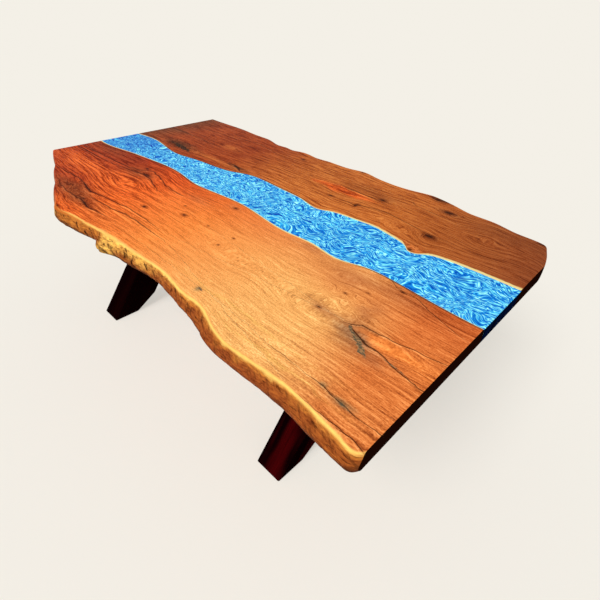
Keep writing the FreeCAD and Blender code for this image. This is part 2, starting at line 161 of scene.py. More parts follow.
def grain_field(u: Array, v: Array, seed: int, octaves: int = 3) -> Array:
    """Smooth random field from about -1 to 1.

    Random heights stand on a square lattice of side one and are blended with soft steps. Each
    octave halves the lattice and the height.

    Args:
        u: First lattice coordinate.
        v: Second lattice coordinate.
        seed: Picks the random heights.
        octaves: How many halvings are added.

    Returns:
        The field, in the shape of u and v.
    """
    side = 256
    heights = np.random.default_rng(seed).uniform(-1.0, 1.0, (side, side))
    total = np.zeros(np.broadcast(u, v).shape)
    for octave in range(octaves):
        scale = 2.0**octave
        a, b = u * scale + 17.3 * octave, v * scale + 9.1 * octave
        i, j = np.floor(a).astype(int), np.floor(b).astype(int)
        s, t = soft_step(0.0, 1.0, a - i), soft_step(0.0, 1.0, b - j)
        i0, i1, j0, j1 = i % side, (i + 1) % side, j % side, (j + 1) % side
        low = heights[i0, j0] * (1 - s) + heights[i1, j0] * s
        high = heights[i0, j1] * (1 - s) + heights[i1, j1] * s
        total = total + (low * (1 - t) + high * t) / scale
    return total


@dataclass(frozen=True)
class Spot:
    """An oval place in the timber, in mm: its middle, half its length and half its width."""

    x: float
    y: float
    length: float
    width: float

    def offset(self, x: Array, y: Array) -> tuple[Array, Array]:
        """Distances from the middle, along and across, as shares of the spot's own size."""
        return (x - self.x) / self.length, (y - self.y) / self.width

    def squared(self, x: Array, y: Array) -> Array:
        """Distance from the middle, squared, and one at the rim."""
        along, across = self.offset(x, y)
        return along**2 + across**2


@dataclass(frozen=True)
class Swell(Spot):
    """A burl or knot that the growth lines pass round. Push is how far it moves them, in mm."""

    push: float

    def shift(self, x: Array, y: Array) -> Array:
        """Push times tanh of the distance across, faded by a bell curve along and across."""
        along, across = self.offset(x, y)
        return self.push * np.tanh(2.0 * across) * np.exp(-(along**2) - 0.5 * across**2)


@dataclass(frozen=True)
class Burr(Spot):
    """A place where the growth lines curl and tangle. Push is how far they are moved, in mm."""

    push: float

    def shift(self, x: Array, y: Array) -> Array:
        """Push times a close random field, faded by a bell curve."""
        return self.push * grain_field(x / 26.0, y / 17.0, seed=91) * np.exp(-self.squared(x, y))


@dataclass(frozen=True)
class Patch(Spot):
    """A part of the timber that is lighter, darker or redder than what surrounds it."""

    tone: Tone
    strength: float = 0.8
    crisp: float = 1.0

    def laid_over(self, shade: Array, x: Array, y: Array) -> Array:
        """The colours blended with this tone, by a bell curve with flanks as steep as crisp."""
        weight = self.strength * np.exp(-(self.squared(x, y) ** self.crisp))[..., None]
        return shade * (1.0 - weight) + np.array(self.tone.value) * weight


@dataclass(frozen=True)
class Check:
    """Cracks and dark growth lines that run along the table on one track.

    Attributes:
        stops: (x, y, half width) in mm. Where the half width is zero the track is bare timber.
    """

    stops: tuple[tuple[float, float, float], ...]

    def reach(self, x: Array, y: Array) -> Array:
        """Distance across from the track, with plus or minus one at the crack's lips.

        Args:
            x: Places along the table, mm.
            y: Places across the table, mm.

        Returns:
            The distances, held within plus or minus FAR_FROM_TRACK.
        """
        places, middles, widths = np.array(self.stops).T
        half_width = np.maximum(np.interp(x, places, widths), 0.05)
        across = (y - np.interp(x, places, middles)) / half_width
        return np.clip(across, -FAR_FROM_TRACK, FAR_FROM_TRACK)


@dataclass(frozen=True)
class Heartwood:
    """Colour of a slab from its left end to its right, deeper or lighter towards its long sides.

    Attributes:
        tones: (x in mm, tone) from left to right.
        by_bank: What the colour is multiplied by at the river.
        by_edge: What the colour is multiplied by at the live edge.
        contrast: (x in mm, strength) of the growth lines.
    """

    tones: ToneStops
    by_bank: Colour
    by_edge: Colour
    contrast: Stops

    def colour(self, x: Array, share: Array) -> Array:
        """The tones from left to right, multiplied at the river and at the live edge.

        Args:
            x: Places along the table, mm.
            share: Zero at the river and one at the live edge.

        Returns:
            Linear colours, with three values for each place.
        """
        bank = soft_step(0.45, 0.05, share)[..., None]
        edge = soft_step(0.6, 0.95, share)[..., None]
        shade = blend_tones(x, self.tones)
        shade = shade * (1.0 + (np.array(self.by_bank) - 1.0) * bank)
        return shade * (1.0 + (np.array(self.by_edge) - 1.0) * edge)


@dataclass(frozen=True)
class Wane:
    """Colour of a live edge, from its arris round to its foot: its own ochre and bark browns, with
    painted highlight on the arris and painted shade darkening towards the foot.

    Attributes:
        bands: (distance round the edge in mm, tone) from the arris down.
        reach: (x in mm, how much further down the bands lie there in mm).
        patches: Lighter and darker parts, with the distance round the edge for y.
    """

    bands: ToneStops
    reach: Stops
    patches: tuple[Patch, ...] = ()

    def colour(self, x: Array, depth: Array) -> Array:
        """The bands, shifted down by the reach, with each patch laid over them.

        Args:
            x: Places along the table, mm.
            depth: Distances round the edge, mm.

        Returns:
            Linear colours, with three values for each place.
        """
        shade = blend_tones(depth - between(x, self.reach), self.bands)
        for patch in self.patches:
            shade = patch.laid_over(shade, x, depth)
        return shade


@dataclass(frozen=True)
class Figure:
    """Everything that is drawn into one slab's timber, in mm.

    Attributes:
        heartwood: Colour of the top.
        wane: Colour of the live edge.
        swells: What the growth lines pass round.
        knots: Dark pin knots.
        checks: Cracks and veins, on up to five tracks.
        patches: Parts of another tone.
        sapwood: (x, width) of the pale line along the river.
        rugged: (x, share) of how rugged the live edge is.
        arris_highlight: (x, share) of how much of the wane's colour shows on the arris.
        seed: Picks the random fields.
    """

    heartwood: Heartwood
    wane: Wane
    swells: tuple[Swell | Burr, ...]
    knots: tuple[Spot, ...]
    checks: tuple[Check, ...]
    patches: tuple[Patch, ...]
    sapwood: Stops
    rugged: Stops
    # Strength of the painted highlight: how far the wane's light bands reach over the top's rounded
    # arris.
    arris_highlight: Stops
    seed: int

    def growth(self, x: Array, y: Array, bank: Array, edge: Array) -> Array:
        """Which growth line passes through each place.

        The lines are straight and level, less what the swells push aside, less the bank's and the
        live edge's own waves fading inwards, less a slow random drift.

        Args:
            x: Places along the table, mm.
            y: Places across the table, mm.
            bank: The river bank's place across the table there, mm.
            edge: The live edge's place across the table there, mm.

        Returns:
            The line's own place across the table, mm.
        """
        bank_middle, edge_middle, highest_wave = 120.0, 560.0, 45.0
        side = np.sign(y)
        line = y - (bank - side * bank_middle) * np.exp(-np.abs(y - bank) / 120.0)
        wave = np.clip(edge - side * edge_middle, -highest_wave, highest_wave)
        line = line - wave * 0.8 * np.exp(-np.abs(edge - y) / 90.0)
        for swell in self.swells:
            line = line - swell.shift(x, y)
        return line - 5.0 * grain_field(x / 260.0, y / 70.0, self.seed)

    def knot_reach(self, x: Array, y: Array) -> Array:
        """Distance to the nearest knot as a share of its size.

        Args:
            x: Places along the table, mm.
            y: Places across the table, mm.

        Returns:
            One at the rim, and FAR_FROM_KNOT at most.
        """
        nearest = np.full(x.shape, FAR_FROM_KNOT)
        for knot in self.knots:
            nearest = np.minimum(nearest, np.sqrt(knot.squared(x, y)))
        return nearest

    def colour(self, x: Array, y: Array, share: Array) -> Array:
        """The heartwood with each patch laid over it in turn, along wandering outlines.

        Args:
            x: Places along the table, mm.
            y: Places across the table, mm.
            share: Zero at the river and one at the live edge.

        Returns:
            Linear colours.
        """
        shade = self.heartwood.colour(x, share)
        wander = 9.0 * grain_field(x / 60.0, y / 25.0, self.seed + 3)
        for patch in self.patches:
            shade = patch.laid_over(shade, x + 2.0 * wander, y + wander)
        return shade

    def fields(
        self, side: Side, x: Array, y: Array, bank: Array, arris: Array, around: Array, pit: Array
    ) -> dict[str, Array]:
        """What the timber finish reads, at each place.

        Past the arris, the figure is carried on as if the live edge were rolled out flat.

        Args:
            side: Which half of the top it is.
            x: Places along the table, mm.
            y: Places across the table, mm, in the part's frame.
            bank: How far out the river's bank is there, mm.
            arris: How far out the live edge's arris is there, mm.
            around: Distance round the live edge, or zero on the top, mm.
            pit: How deep the live edge is pitted, as a share.

        Returns:
            Fields by name.
        """
        sign = side.value
        reach = np.where(around > 0, arris + around - ARRIS_RUN, y * sign)
        rind = np.where(around > 0, around, reach - arris + ARRIS_RUN)
        flat_y, flat_bank, flat_arris = (
            line * sign - CENTRE_SHIFT for line in (reach, bank, arris)
        )
        growth = self.growth(x, flat_y, flat_bank, flat_arris)
        wander = 3.0 * grain_field(x / 40.0, flat_y / 40.0, self.seed + 7)
        tracks = [check.reach(x, flat_y + wander) for check in self.checks]
        tracks += [np.full(x.shape, FAR_FROM_TRACK)] * (TRACK_COUNT - len(tracks))
        sapwood = (reach - bank) / np.maximum(between(x, self.sapwood), 0.05)
        sapwood = np.clip(sapwood, -FAR_FROM_TRACK, FAR_FROM_TRACK)
        wobble = 8.0 * grain_field(x / 26.0, rind / 15.0, self.seed + 5, octaves=4)
        # The wane's bands, with their painted highlight on the arris and painted shade at the foot,
        # are laid over the rounded arris as far as the arris highlight reaches, and over all of the
        # wane below it.
        over = soft_step(0.0, 6.0, rind + 0.2 * wobble) * between(x, self.arris_highlight)
        over = np.maximum(over, soft_step(9.0, 16.0, rind))
        depth = rind + wobble * (0.15 + 0.85 * soft_step(10.0, 26.0, rind))
        stain_and_painted_light = self.colour(x, flat_y, (reach - bank) / (arris - bank))
        stain_and_painted_light = stain_and_painted_light + (self.wane.colour(x, depth) - stain_and_painted_light) * over[..., None]
        contrast = between(x, self.heartwood.contrast)
        rugged = between(x, self.rugged)
        named = {
            "growth": (growth * MM, self.knot_reach(x, flat_y), contrast),
            "rind": (rind * MM, pit, over),
            "edges": ((reach - bank) * MM, rugged, np.zeros(x.shape)),
            "cracks": tracks[:3],
            "veins": (*tracks[3:], sapwood),
        }
        return {"stain_and_painted_light": stain_and_painted_light} | {key: np.stack(parts, axis=-1) for key, parts in named.items()}


# ---------------------------------------------------------------- meshes
def add_object(name: str, data: bpy.types.ID) -> bpy.types.Object:
    """Put a new object into the scene, at the origin.

    Args:
        name: Its name.
        data: Its mesh, light or camera.

    Returns:
        The object.
    """
    thing = bpy.data.objects.new(name, data)
    bpy.context.scene.collection.objects.link(thing)
    return thing


@dataclass
class GridMesh:
    """A closed shell made of columns of points, each column a closed loop.

    Attributes:
        name: Name of the piece.
        points: Columns by rows by three, in metres.
        fields: Values kept at the points, by name.
        crease: Faces that meet at more than this angle keep a hard edge, in degrees.
        end_reach: Faces within this distance of the table's ends have the second material.
    """

    name: str
    points: Array
    fields: dict[str, Array] = field(default_factory=dict)
    crease: float = 38.0
    end_reach: float = 1.2 * MM

    def faces(self) -> list[tuple[int, ...]]:
        """Four corners between neighbouring columns and rows, and one face over each end loop.

        Returns:
            Corner numbers of each face.
        """
        columns, rows, _ = self.points.shape
        index = np.arange(columns * rows).reshape(columns, rows)
        following = np.roll(index, -1, axis=1)
        quads = np.stack([index[:-1], index[1:], following[1:], following[:-1]], axis=-1)
        faces = [tuple(quad) for quad in quads.reshape(-1, 4).tolist()]
        return faces + [tuple(index[0].tolist()), tuple(index[-1][::-1].tolist())]

    def keep_fields(self, mesh: bpy.types.Mesh) -> None:
        """Store every field at the mesh's points, as numbers or as vectors.

        Args:
            mesh: The mesh that keeps them.
        """
        for name, values in self.fields.items():
            kind, key = ("FLOAT_VECTOR", "vector") if values.ndim == 3 else ("FLOAT", "value")
            layer = mesh.attributes.new(name, kind, "POINT")
            layer.data.foreach_set(key, values.astype(np.float32).ravel())

    def build(self) -> bpy.types.Object:
        """Make the mesh at the origin, with smooth shading and hard creases.

        Returns:
            The new object, in the scene.
        """
        mesh = bpy.data.meshes.new(self.name)
        mesh.from_pydata(self.points.reshape(-1, 3).tolist(), [], self.faces())
        shell = bmesh.new()
        shell.from_mesh(mesh)
        bmesh.ops.recalc_face_normals(shell, faces=shell.faces)
        shell.to_mesh(mesh)
        shell.free()
        self.keep_fields(mesh)
        mesh.polygons.foreach_set("use_smooth", [True] * len(mesh.polygons))
        middles = np.zeros(len(mesh.polygons) * 3, np.float32)
        mesh.polygons.foreach_get("center", middles)
        ends = np.abs(middles.reshape(-1, 3)[:, 0]) > CAD_BOX[1].x - self.end_reach
        mesh.polygons.foreach_set("material_index", ends.astype(np.int32))
        mesh.set_sharp_from_angle(angle=math.radians(self.crease))
        return add_object(self.name, mesh)


def node_points(node: str) -> Array:
    """Corners of a CAD node's mesh, one row for each, in metres.

    Args:
        node: Name of the node.

    Returns:
        Rows of three.
    """
    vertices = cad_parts[node].data.vertices
    flat = np.zeros(len(vertices) * 3, np.float32)
    vertices.foreach_get("co", flat)
    return flat.reshape(-1, 3).astype(float)


def line_through(points: Array) -> tuple[Array, Array]:
    """X and Y of the corners of a long edge in order of X, with repeated ones dropped.

    Args:
        points: Corners that lie on the edge.

    Returns:
        Their X values and their Y values.
    """
    order = np.argsort(points[:, 0])
    x, y = points[order, 0], points[order, 1]
    keep = np.concatenate([[True], np.diff(x) > 1e-5])
    return x[keep], y[keep]


def blend_rows(knots: Array, rows: int) -> Array:
    """Smooth rows through a profile's knots by Catmull-Rom splines.

    Between two knots the curve is the cubic that passes through both, with slopes taken from
    their neighbours. The end knots are used twice.

    Args:
        knots: One row for each knot, with any number of columns.
        rows: How many rows to make.

    Returns:
        Rows by columns.
    """
    padded = np.concatenate([knots[:1], knots, knots[-1:]])
    place = np.linspace(0.0, len(knots) - 1.0, rows)
    first = np.minimum(place.astype(int), len(knots) - 2)
    t = (place - first)[:, None]
    a, b, c, d = (padded[first + k] for k in range(4))
    square, cube = 2 * a - 5 * b + 4 * c - d, 3 * b - a - 3 * c + d
    return 0.5 * (2 * b + (c - a) * t + square * t**2 + cube * t**3)


@dataclass
class LiveEdgeSlab:
    """One timber half of the top, from the river's bank round its live edge and back underneath.

    Attributes:
        name: Name of the piece.
        node: CAD node that it stands for.
        slot: The record's material slot.
        side: Near or far half.
        figure: What is drawn into its timber.
        fills: CAD nodes of the resin fills that lie in its top.
        top_rows: Points across the top surface.
        edge_rows: Points round the live edge.
        outer_rows: Points across the underside outside the grooves.
        inner_rows: Points across the underside between the grooves' ends and the bank.
        finest: Distance between columns at the right end.
        coarsest: Distance between columns at the left end.
        girth: Distance round the live edge that its colours are laid out for.
        near: How close two heights are that count as the same.
    """

    name: str
    node: str
    slot: str
    side: Side
    figure: Figure
    fills: str
    top_rows: int = 124
    edge_rows: int = 34
    outer_rows: int = 7
    inner_rows: int = 9
    finest: float = 3.3 * MM
    coarsest: float = 5.0 * MM
    top: float = 750.0 * MM
    bottom: float = 692.0 * MM
    arris_height: float = 743.0 * MM
    belly_height: float = 714.0 * MM
    bank_lean: float = 14.0 * MM
    end_ease: float = 1.5 * MM
    corner_radius: float = 26.0 * MM
    groove_play: float = 1.0 * MM
    groove_end_play: float = 5.0 * MM
    groove_depth: float = 17.0 * MM
    girth: float = 73.0 * MM
    near: float = 0.1 * MM

    def columns(self) -> Array:
        """X of every column: finer to the right, with pairs at the walls of the grooves.

        Returns:
            Rising values, in metres.
        """
        half = CAD_BOX[1].x
        count = int(2 * half / (0.5 * (self.finest + self.coarsest)))
        share = np.linspace(0.0, 1.0, count)
        bend = (self.coarsest - self.finest) / (self.coarsest + self.finest)
        base = -half + 2 * half * (share * (1 + bend) - bend * share**2)
        inner = half - self.end_ease
        base = base[(np.abs(base) < inner - MM) & (base < half - self.corner_radius)]
        walls = [
            wall for low, high in self.grooves()
            for wall in (low - self.near, low, high, high + self.near)
        ]
        turn = half - self.corner_radius * np.array([0.9, 0.72, 0.56, 0.42, 0.3, 0.2, 0.12])
        return np.unique(np.concatenate([base, walls, turn, [-half, -inner, inner, half]]))

    def corner(self, x: Array) -> Array:
        """How far the live edge is drawn in at the right end, by a quarter circle, m."""
        share = np.clip((x - CAD_BOX[1].x) / self.corner_radius + 1.0, 0.0, 0.97)
        return self.corner_radius * (1.0 - np.sqrt(1.0 - share**2))

    def grooves(self) -> list[tuple[float, float]]:
        """Left and right wall of each channel's groove."""
        boxes = [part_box(f"{place}_channel") for place in ("left", "centre", "right")]
        return [(low.x - self.groove_play, high.x + self.groove_play) for low, high in boxes]

    def long_lines(self, x: Array) -> tuple[Array, Array, Array]:
        """The bank, the live edge under its arris, and its belly, all outward from Y = 0.

        Args:
            x: The columns.

        Returns:
            Three arrays of distances, in metres.
        """
        sign = self.side.value
        resin = node_points("river_resin")
        bank = resin[(resin[:, 2] > self.top - 0.05 * MM) & (resin[:, 1] * sign > 0)]
        timber = node_points(self.node)
        arris = line_through(timber[np.abs(timber[:, 2] - self.arris_height) < self.near])
        level = timber[np.abs(timber[:, 2] - self.belly_height) < self.near]
        reach = np.interp(level[:, 0], arris[0], arris[1] * sign)
        belly = line_through(level[level[:, 1] * sign > reach - 8 * MM])
        bank_line, arris_line, belly_line = (
            np.interp(x, places, across * sign)
            for places, across in (line_through(bank), arris, belly)
        )
        return bank_line, arris_line, belly_line

    def edge_profile(self, flare: Array) -> tuple[Array, Array]:
        """Section of the live edge: a soft arris, a swelling wane, and a tucked-in foot.

        Args:
            flare: How far the belly stands out from the arris in each column, m.

        Returns:
            Outward distance from the arris line and height, rows by columns, m.
        """
        section = (  # mm outward, share of the flare, mm above the floor
            (-ARRIS_RUN, 0.0, 750.0), (-5.2, 0.0, 749.7), (-2.2, 0.0, 748.3), (-0.2, 0.0, 745.3),
            (0.3, 0.2, 739.0), (0.6, 0.6, 728.0), (0.0, 1.0, 715.0), (-0.8, 1.0, 705.0),
            (-4.0, 1.0, 697.0), (-8.0, 1.0, 693.2), (-13.0, 1.0, 692.0),
        )
        base, share, height = np.array(section).T
        outward = base[:, None] * MM + share[:, None] * flare[None, :]
        level = np.repeat(height[:, None] * MM, len(flare), axis=1)
        return blend_rows(outward, self.edge_rows), blend_rows(level, self.edge_rows)

    def relief(self, x: Array, girth: Array) -> Array:
        """How the wane's surface stands in or out.

        Broad lumps, less ridged furrows that run with the grain, less pits where the field is
        high. Furrows and pits grow with how rugged the edge is at that place.

        Args:
            x: Places along the table, mm.
            girth: Distance round the edge from the start of its arris, mm.

        Returns:
            Outward relief, mm.
        """
        seed = self.figure.seed
        rugged = between(x, self.figure.rugged)
        lumps = 2.4 * grain_field(x / 58.0, girth / 34.0, seed + 11)
        warp = 0.6 * grain_field(x / 40.0, girth / 24.0, seed + 12, octaves=2)
        slant = grain_field(x / 60.0 - girth / 26.0, girth / 17.0 + warp, seed + 13)
        furrow = 1.0 - np.clip(np.abs(slant) / 0.2, 0.0, 1.0)
        hollows = grain_field(x / 26.0 - girth / 20.0, girth / 16.0, seed + 14, octaves=2)
        pits = soft_step(0.42, 0.9, hollows) * soft_step(14.0, 34.0, girth)
        sunk = rugged * (1.8 * furrow + 4.5 * pits)
        return lumps * np.minimum(0.35 + rugged, 2.6 * rugged) - sunk

    def live_edge(self, x: Array, arris: Array, belly: Array) -> tuple[Array, Array, Array, Array]:
        """The live edge of every column, from the top surface to the underside.

        Args:
            x: The columns, m.
            arris: Arris line of each column, outward, m.
            belly: Belly line of each column, outward, m.

        Returns:
            Outward distance, height and distance round the edge in m, and relief in mm, all rows
            by columns.
        """
        outward, height = self.edge_profile(belly - arris)
        steps = np.hypot(np.diff(outward, axis=0), np.diff(height, axis=0))
        girth = np.concatenate([np.zeros((1, len(x))), np.cumsum(steps, axis=0)])
        rise, run = np.gradient(height, axis=0), np.gradient(outward, axis=0)
        length = np.hypot(rise, run) + 1e-12
        fade = soft_step(4.0, 16.0, girth / MM) * soft_step(0.0, 12.0, (girth[-1] - girth) / MM)
        relief = self.relief(x[None, :] / MM, girth / MM) * fade
        y = arris + outward - rise / length * relief * MM
        z = height + run / length * relief * MM
        return np.minimum(y, abs(CAD_BOX[0].y) - 0.3 * MM), z, girth, relief

    def underside(self, x: Array, foot: Array, bank_foot: Array) -> tuple[Array, Array]:
        """The flat underside and the grooves in it, from the live edge's foot to the bank's.

        Args:
            x: The columns, m.
            foot: Where the live edge ends in each column, outward, m.
            bank_foot: Where the bank begins in each column, outward, m.

        Returns:
            Outward distance and height, rows by columns, m.
        """
        sign = self.side.value
        channel_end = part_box("centre_channel")[0 if sign < 0 else 1].y * sign
        groove_end = np.minimum(channel_end + self.groove_end_play, foot - 6 * MM)
        outer = np.linspace(0.08, 1.0, self.outer_rows)[:, None]
        inner = np.linspace(0.0, 1.0, self.inner_rows)[:, None]
        y = np.concatenate([
            foot + (groove_end + self.near - foot) * outer,
            groove_end + (bank_foot - groove_end) * inner,
        ])
        z = np.full(y.shape, self.bottom)
        for low, high in self.grooves():
            inside = (x > low - 0.01 * MM) & (x < high + 0.01 * MM)
            z[self.outer_rows :, inside] = self.bottom + self.groove_depth
        return y, z

    def shell(self) -> GridMesh:
        """The whole slab as columns of points, with the fields its finish reads.

        Returns:
            The closed shell.
        """
        x = self.columns()
        bank, arris, belly = self.long_lines(x)
        arris, belly = arris - self.corner(x), belly - self.corner(x)
        edge_y, edge_z, girth, relief = self.live_edge(x, arris, belly)
        across = np.linspace(0.0, 1.0, self.top_rows, endpoint=False)[:, None]
        top_y = bank + (arris - ARRIS_RUN * MM - bank) * across
        top_z = np.full(top_y.shape, self.top)
        bank_foot = bank - self.bank_lean
        under_y, under_z = self.underside(x, edge_y[-1], bank_foot)
        climb = np.array([0.35, 0.7])[:, None]
        bank_y = bank_foot + self.bank_lean * climb
        bank_z = under_z[-1] + (self.top - under_z[-1]) * climb

        y = np.concatenate([top_y, edge_y, under_y, bank_y]).T * self.side.value
        z = np.concatenate([top_z, edge_z, under_z, bank_z]).T
        columns = np.repeat(x[:, None], y.shape[1], axis=1)
        on_top = np.s_[:, : self.top_rows]
        z[on_top] -= self.dip(columns[on_top], y[on_top])
        for end in (0, -1):
            z[end] = np.clip(z[end], self.bottom + self.end_ease, self.top - self.end_ease)
        points = np.stack([columns, y, z], axis=-1)
        return GridMesh(self.name, points, self.fields(points, bank, arris, girth, relief))

    def dip(self, x: Array, y: Array) -> Array:
        """A shallow dish under and round each resin fill, by a bell curve of the distance, m.

        Args:
            x: Places along the table, m.
            y: Places across the table, m.

        Returns:
            How far the top is let down, m.
        """
        depth, spread, margin = 0.3 * MM, 16 * MM, 20 * MM
        corners = node_points(self.fills)
        rim = np.unique(np.round(corners[corners[:, 2] > self.top - 0.05 * MM][:, :2], 4), axis=0)
        low, high = rim.min(axis=0) - margin, rim.max(axis=0) + margin
        near = (x > low[0]) & (x < high[0]) & (y > low[1]) & (y < high[1])
        places = np.stack([x[near], y[near]], axis=-1)
        nearest = np.full(len(places), 1.0)
        for corner in rim:
            nearest = np.minimum(nearest, np.hypot(*(places - corner).T))
        let_down = np.zeros(x.shape)
        let_down[near] = depth * np.exp(-((nearest / spread) ** 2))
        return let_down

    def fields(
        self, points: Array, bank: Array, arris: Array, girth: Array, relief: Array
    ) -> dict[str, Array]:
        """What the timber finish reads at every point. Cracks and knots skip the underside.

        Args:
            points: The shell's points, m.
            bank: Bank line of each column, outward, m.
            arris: Arris line of each column, outward, m.
            girth: Distance round the live edge, rows by columns, m. Its end becomes self.girth.
            relief: Relief of the live edge, rows by columns, mm.

        Returns:
            Fields by name.
        """
        columns, rows, _ = points.shape
        first, last = self.top_rows, self.top_rows + self.edge_rows
        around, pit = np.zeros((columns, rows)), np.zeros((columns, rows))
        around[:, first:last] = (girth / girth[-1]).T * self.girth / MM
        pit[:, first:last] = np.clip(-relief.T / 6.0, -1.0, 1.0)
        banks, edges = (np.repeat(line[:, None], rows, axis=1) / MM for line in (bank, arris))
        banks[:, last:] -= self.bank_lean / MM
        x, y, _ = np.moveaxis(points / MM, -1, 0)
        fields = self.figure.fields(self.side, x, y, banks, edges, around, pit)
        fields["cracks"][:, last:] = FAR_FROM_TRACK
        fields["veins"][:, last:, :2] = FAR_FROM_TRACK
        fields["growth"][:, last:, 1] = FAR_FROM_KNOT
        return fields


@dataclass(frozen=True)
class Pour:
    """Tinted resin in one crack or knot, in mm: its two tips, its width and its depth."""

    start: tuple[float, float]
    end: tuple[float, float]
    width: float
    depth: float = 11.0

    def shell(self, name: str, slab: LiveEdgeSlab, seed: int) -> GridMesh:
        """A lens that wanders and swells at random along its length, closed by a flat bed.

        Half the width is the sine of the share of the length to the power 0.6, times a random
        field.

        Args:
            name: Name of the piece.
            slab: The slab that it lies in.
            seed: Picks the random field.

        Returns:
            The closed shell.
        """
        column_gap, across_rows = 1.8, 13
        start, end = np.array(self.start), np.array(self.end)
        length = float(np.hypot(*(end - start)))
        along = (end - start) / length
        share = np.linspace(0.02, 0.98, max(12, int(length / column_gap)))
        u = share * length
        lens = np.sin(np.pi * share) ** 0.6
        swell = 0.72 + 0.3 * grain_field(u / 13.0, u * 0 + 3.0, seed, octaves=2)
        half = 0.5 * self.width * lens * swell
        drift = 0.16 * self.width * lens * grain_field(u / 22.0, u * 0 + 7.0, seed + 1, octaves=2)
        spread = np.concatenate([np.linspace(-1.0, 1.0, across_rows), [0.85, 0.0, -0.85]])
        below = np.concatenate([np.zeros(across_rows), [self.depth] * 3])
        offset = drift[:, None] + half[:, None] * spread
        x = start[0] + u[:, None] * along[0] - offset * along[1]
        y = start[1] + u[:, None] * along[1] + offset * along[0] + CENTRE_SHIFT
        z = np.broadcast_to(slab.top / MM - below, x.shape)
        flat = np.zeros(x.shape)
        banks, edges = (line.reshape(x.shape) / MM for line in slab.long_lines(x.ravel() * MM)[:2])
        fields = slab.figure.fields(slab.side, x, y, banks, edges, flat, flat)
        rim = (1.0 - np.abs(spread)) * half[:, None] / 4.0
        fields["pour"] = np.clip(np.minimum(rim, lens[:, None] * 1.2), 0.0, 1.0)
        return GridMesh(name, np.stack([x, y, z], axis=-1) * MM, fields)


# ---------------------------------------------------------------- finishes
@dataclass(frozen=True)
class Value:
    """What a node puts out. Arithmetic on it adds the nodes that work it out."""

    graph: "Graph"
    socket: bpy.types.NodeSocket

    def __add__(self, other: "Value | float") -> "Value":
        """The sum."""
        return self.graph.maths("ADD", self, other)

    def __sub__(self, other: "Value | float") -> "Value":
        """The difference."""
        return self.graph.maths("SUBTRACT", self, other)

    def __mul__(self, other: "Value | float") -> "Value":
        """The product."""
        return self.graph.maths("MULTIPLY", self, other)

    def __neg__(self) -> "Value":
        """The negative."""
        return self * -1.0

    def __abs__(self) -> "Value":
        """The size without its sign."""
        return self.graph.maths("ABSOLUTE", self)

    def held(self) -> "Value":
        """The same, kept from 0 to 1."""
        return self.graph.maths("ADD", self, 0.0, clamp=True)


